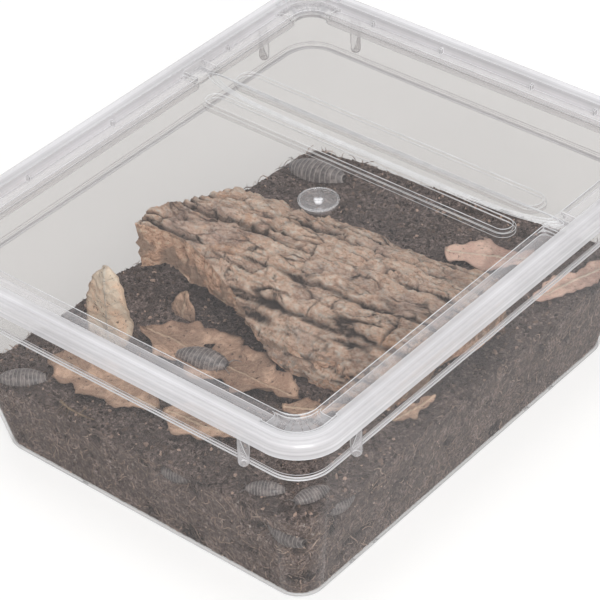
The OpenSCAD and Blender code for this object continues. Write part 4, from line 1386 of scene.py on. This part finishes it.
# rows of points along a plate: share of its length and how far it stands out, as shares of the body
PLATE_ROWS = (-0.12, 0.05, 0.3, 0.62, 0.9, 1.04, 1.08, 1.04)
PLATE_LIFT = (-0.05, 0.0, 0.02, 0.03, 0.05, 0.055, 0.035, 0.012)
# the body as shares of its length, and how much shorter than its node it is
LOUSE_WIDE = 0.48
LOUSE_HIGH = 0.2
LOUSE_SHRINK = 0.97
BELLY_WIDE = 0.42
BELLY_ROWS = 13
LEG_PAIRS = 7


def louse_girth(t):
    """Share of the full width at a share of the length from head to tail."""
    return math.sin(math.pi * (0.05 + 0.9 * t)) ** 0.55


def louse_plate(parts, k, long):
    """One of the overlapping plates, counted from the head."""
    points, rims = [], []
    tail = k >= TAIL_FROM
    for c in range(PLATE_COLUMNS + 1):
        a = mix(-1.0, 1.0, c / PLATE_COLUMNS)
        flare = 0.1 * abs(a) ** 5
        for row, (share, lift) in enumerate(zip(PLATE_ROWS, PLATE_LIFT)):
            t = mix(k / PLATES, (k + 1) / PLATES, share)
            g = louse_girth(clamp(t))
            w = long * LOUSE_WIDE / 2 * g * (1 + flare + lift * 0.5)
            if tail:
                w *= 1 - 0.03 * (k - TAIL_FROM + 1)
            h = long * LOUSE_HIGH * g ** 0.8 * (1 + lift)
            back_sweep = (0.03 if tail else 0.012) * long * abs(a) ** 3
            points.append((long * (t - 0.5) + back_sweep, w * math.sin(a * math.pi / 2),
                           h * (1 - abs(a) ** 2.3) + long * 0.03))
            rims.append(clamp((row - 2.2) / 3) if row < len(PLATE_ROWS) - 1 else 0.8)
    parts.add(points, grid_faces(PLATE_COLUMNS + 1, len(PLATE_ROWS)), rim=rims)


def limb(parts, start, knee, foot, thick):
    """A leg, feeler or tail point, which tapers from its start over its knee."""
    path = [tuple(Vector(start).lerp(Vector(knee), s / 3)) for s in range(4)]
    path += [tuple(Vector(knee).lerp(Vector(foot), s / 3)) for s in range(1, 4)]
    parts.add(*tube(path, [thick * (1 - 0.1 * s) for s in range(len(path))], 6), rim=0.9)


def make_louse(node, place, long, shell, limbs):
    """A woodlouse with its head towards -x: overlapping plates, legs, feelers and tail points."""
    parts = Parts("rim")
    long *= LOUSE_SHRINK
    for k in range(PLATES):
        louse_plate(parts, k, long)
    belly = [(long * (t - 0.5), s * long * LOUSE_WIDE * BELLY_WIDE * louse_girth(t), long * 0.028)
             for t in (i / (BELLY_ROWS - 1) for i in range(BELLY_ROWS)) for s in (-1, 0, 1)]
    parts.add(belly, grid_faces(BELLY_ROWS, 3, flip=True), rim=0.3)
    body_faces = len(parts.faces)
    for side in (-1, 1):
        for k in range(LEG_PAIRS):
            t = 0.16 + 0.078 * k
            w = long * LOUSE_WIDE / 2 * louse_girth(t)
            sweep = long * 0.035 * (k - 3) / 3
            limb(parts, (long * (t - 0.5), side * w * 0.55, long * 0.04),
                 (long * (t - 0.5) + sweep, side * w * 0.98, long * 0.05),
                 (long * (t - 0.5) + 1.8 * sweep, side * w * 1.13, 0.15), long * 0.011)
        # feeler and tail point
        limb(parts, (-long * 0.47, side * long * 0.05, long * 0.055),
             (-long * 0.56, side * long * 0.15, long * 0.1),
             (-long * 0.68, side * long * 0.21, long * 0.05), long * 0.013)
        limb(parts, (long * 0.475, side * long * 0.035, long * 0.03),
             (long * 0.5, side * long * 0.045, long * 0.027),
             (long * 0.545, side * long * 0.055, long * 0.02), long * 0.016)
    piece = new_mesh(node + "_animal", [place(*p) for p in parts.points], parts.faces, parts.marks)
    finish_piece(piece, "tub", shell, (node,))
    second_material(piece, limbs, body_faces)


def in_burrow(at, turn, tip, out):
    """Turns a dug-in woodlouse's own millimetres into world ones, tipped and moved towards the wall."""
    a, b = math.radians(turn), math.radians(tip)

    def place(x, y, z):
        across = y * math.cos(b) - z * math.sin(b) - out
        return on_bed(at, a, x, across, at[2] + (y * math.sin(b) + z * math.cos(b)))
    return place


# node, place and length of the woodlice on top
LICE = [
    ("woodlouse_leaf", lying((-13, FRONT + 59.9), 191, 1.2), 24.0),
    ("woodlouse_back", lying((LEFT + 19.7, BACK - 20.9), 8), 29.0),
    ("woodlouse_left", lying((LEFT + 21.7, FRONT + 8.9), 35), 20.0),
    ("woodlouse_front", lying((RIGHT - 25.7, FRONT + 8.9), 30), 15.6),
    ("woodlouse_corner", lying((RIGHT - 8.7, FRONT + 15.9), 72), 15.6),
]


def make_lice():
    shell, limbs = louse_material(), louse_limb_material()
    for node, place, long in LICE:
        make_louse(node, place, long, shell, limbs)
    for node, (at, turn, long, tip, out) in BURROWS.items():
        make_louse(node, in_burrow(at, turn, tip, out), long, shell, limbs)


# ---- studio ----

# the camera: its place in metres, where it looks in degrees, and its lens
CAMERA_AT = (0.57333, -0.67711, 0.72345)
CAMERA_AZIMUTH = 40.4685
CAMERA_ELEVATION = 37.2653
CAMERA_ROLL = -1.9532
CAMERA_LENS = 158.19
SENSOR = 36.0
# light from all round and white of the backdrop
WORLD_COLOUR = (0.97, 0.985, 1.0)
WORLD_LEVEL = 0.46
# rectangular lamps: place, size and power; both aim at one place
LAMP_AIM = (0, 0, 0.05)
LAMPS = {"overhead": ((-0.08, 0.05, 1.5), (1.1, 1.1), 8), "front": ((1.08, -1.03, 0.95), (1.0, 0.8), 21)}
# the floor: what it sends back to the object, and its colour and glow where it is seen
FLOOR_HALF = 3.0
FLOOR_LIT = (0.4, 0.394, 0.386)
FLOOR_SEEN = (0.52, 0.512, 0.5)
FLOOR_GLOW = 0.56


def make_camera():
    a, e, r = (math.radians(v) for v in (CAMERA_AZIMUTH, CAMERA_ELEVATION, CAMERA_ROLL))
    back = Vector((math.sin(a) * math.cos(e), -math.cos(a) * math.cos(e), math.sin(e)))
    right = Vector((math.cos(a), math.sin(a), 0))
    up = back.cross(right)
    x = right * math.cos(r) + up * math.sin(r)
    y = up * math.cos(r) - right * math.sin(r)
    data = bpy.data.cameras.new("camera")
    data.lens = CAMERA_LENS
    data.sensor_width = SENSOR
    data.clip_start = 0.01
    data.clip_end = 20
    camera = add_object("camera", data)
    camera.matrix_world = Matrix.Translation(CAMERA_AT) @ Matrix((x, y, back)).transposed().to_4x4()
    bpy.context.scene.camera = camera


def by_ray(tree, unseen, seen, output):
    """Ends a tree with a shader for rays from the camera, a mirror or a clear piece and one for the rest."""
    path = add_node(tree, "ShaderNodeLightPath")
    first = add_node(tree, "ShaderNodeMath", {0: path["Is Camera Ray"], 1: path["Is Glossy Ray"]},
                     operation="MAXIMUM")[0]
    direct = add_node(tree, "ShaderNodeMath", {0: first, 1: path["Is Transmission Ray"]},
                      operation="MAXIMUM")[0]
    picked = add_node(tree, "ShaderNodeMixShader", {0: direct, 1: unseen, 2: seen})[0]
    add_node(tree, output, {"Surface": picked})


def make_world():
    world = bpy.data.worlds.new("studio")
    world.use_nodes = True
    bpy.context.scene.world = world
    tree = world.node_tree
    tree.nodes.clear()
    soft = add_node(tree, "ShaderNodeBackground", {"Color": (*WORLD_COLOUR, 1), "Strength": WORLD_LEVEL})[0]
    white = add_node(tree, "ShaderNodeBackground", {"Color": (1, 1, 1, 1)})[0]
    by_ray(tree, soft, white, "ShaderNodeOutputWorld")


def make_lamp(name, at, size, power):
    data = bpy.data.lights.new(name, "AREA")
    data.shape = "RECTANGLE"
    data.size, data.size_y = size
    data.energy = power
    way = Vector(LAMP_AIM) - Vector(at)
    turn = way.to_track_quat("-Z", "Y").to_matrix().to_4x4()
    add_object(name, data).matrix_world = Matrix.Translation(at) @ turn


def make_floor():
    mesh = bpy.data.meshes.new("floor")
    corners = [(x * FLOOR_HALF, y * FLOOR_HALF, 0) for x, y in ((-1, -1), (1, -1), (1, 1), (-1, 1))]
    mesh.from_pydata(corners, [], [(0, 1, 2, 3)])
    material = bpy.data.materials.new("floor_white")
    material.use_nodes = True
    tree = material.node_tree
    tree.nodes.clear()
    lit = add_node(tree, "ShaderNodeBsdfDiffuse", {"Color": (*FLOOR_LIT, 1)})[0]
    seen = add_node(tree, "ShaderNodeBsdfDiffuse", {"Color": (*FLOOR_SEEN, 1)})[0]
    glow = add_node(tree, "ShaderNodeEmission", {"Strength": FLOOR_GLOW})[0]
    shown = add_node(tree, "ShaderNodeAddShader", {0: seen, 1: glow})[0]
    by_ray(tree, lit, shown, "ShaderNodeOutputMaterial")
    mesh.materials.append(material)
    floor = add_object("floor", mesh)


def make_studio():
    make_camera()
    make_world()
    make_floor()
    for name, (at, size, power) in LAMPS.items():
        make_lamp(name, at, size, power)
    scene = bpy.context.scene
    scene.view_settings.view_transform = "Standard"
    scene.cycles.transparent_max_bounces = 40


# ---- everything ----

def make_mouldings():
    edges, beads = plastic_edge("clear_edge"), bead_tree()
    for node, rim, milk, tint, share in (("tub", tub_rim, TUB_MILK, TUB_TINT, rib_share),
                                         ("lid", lid_rim, LID_MILK, LID_TINT, rim_share)):
        slot = "clear_" + node
        moulded(beads, node, clear_plastic(slot, rim, milk, tint), edges, share)


def make_object():
    make_mouldings()
    make_soil()
    make_bark(cork_material(), cork_inside_material())
    make_leaves()
    roots = root_material()
    make_root("root_long", (-30, FRONT + 43.9), 250, 40, 30, roots)
    make_root("root_short", (0, BACK - 34.9), 60, 20, 50, roots)
    make_lice()


make_object()
make_studio()
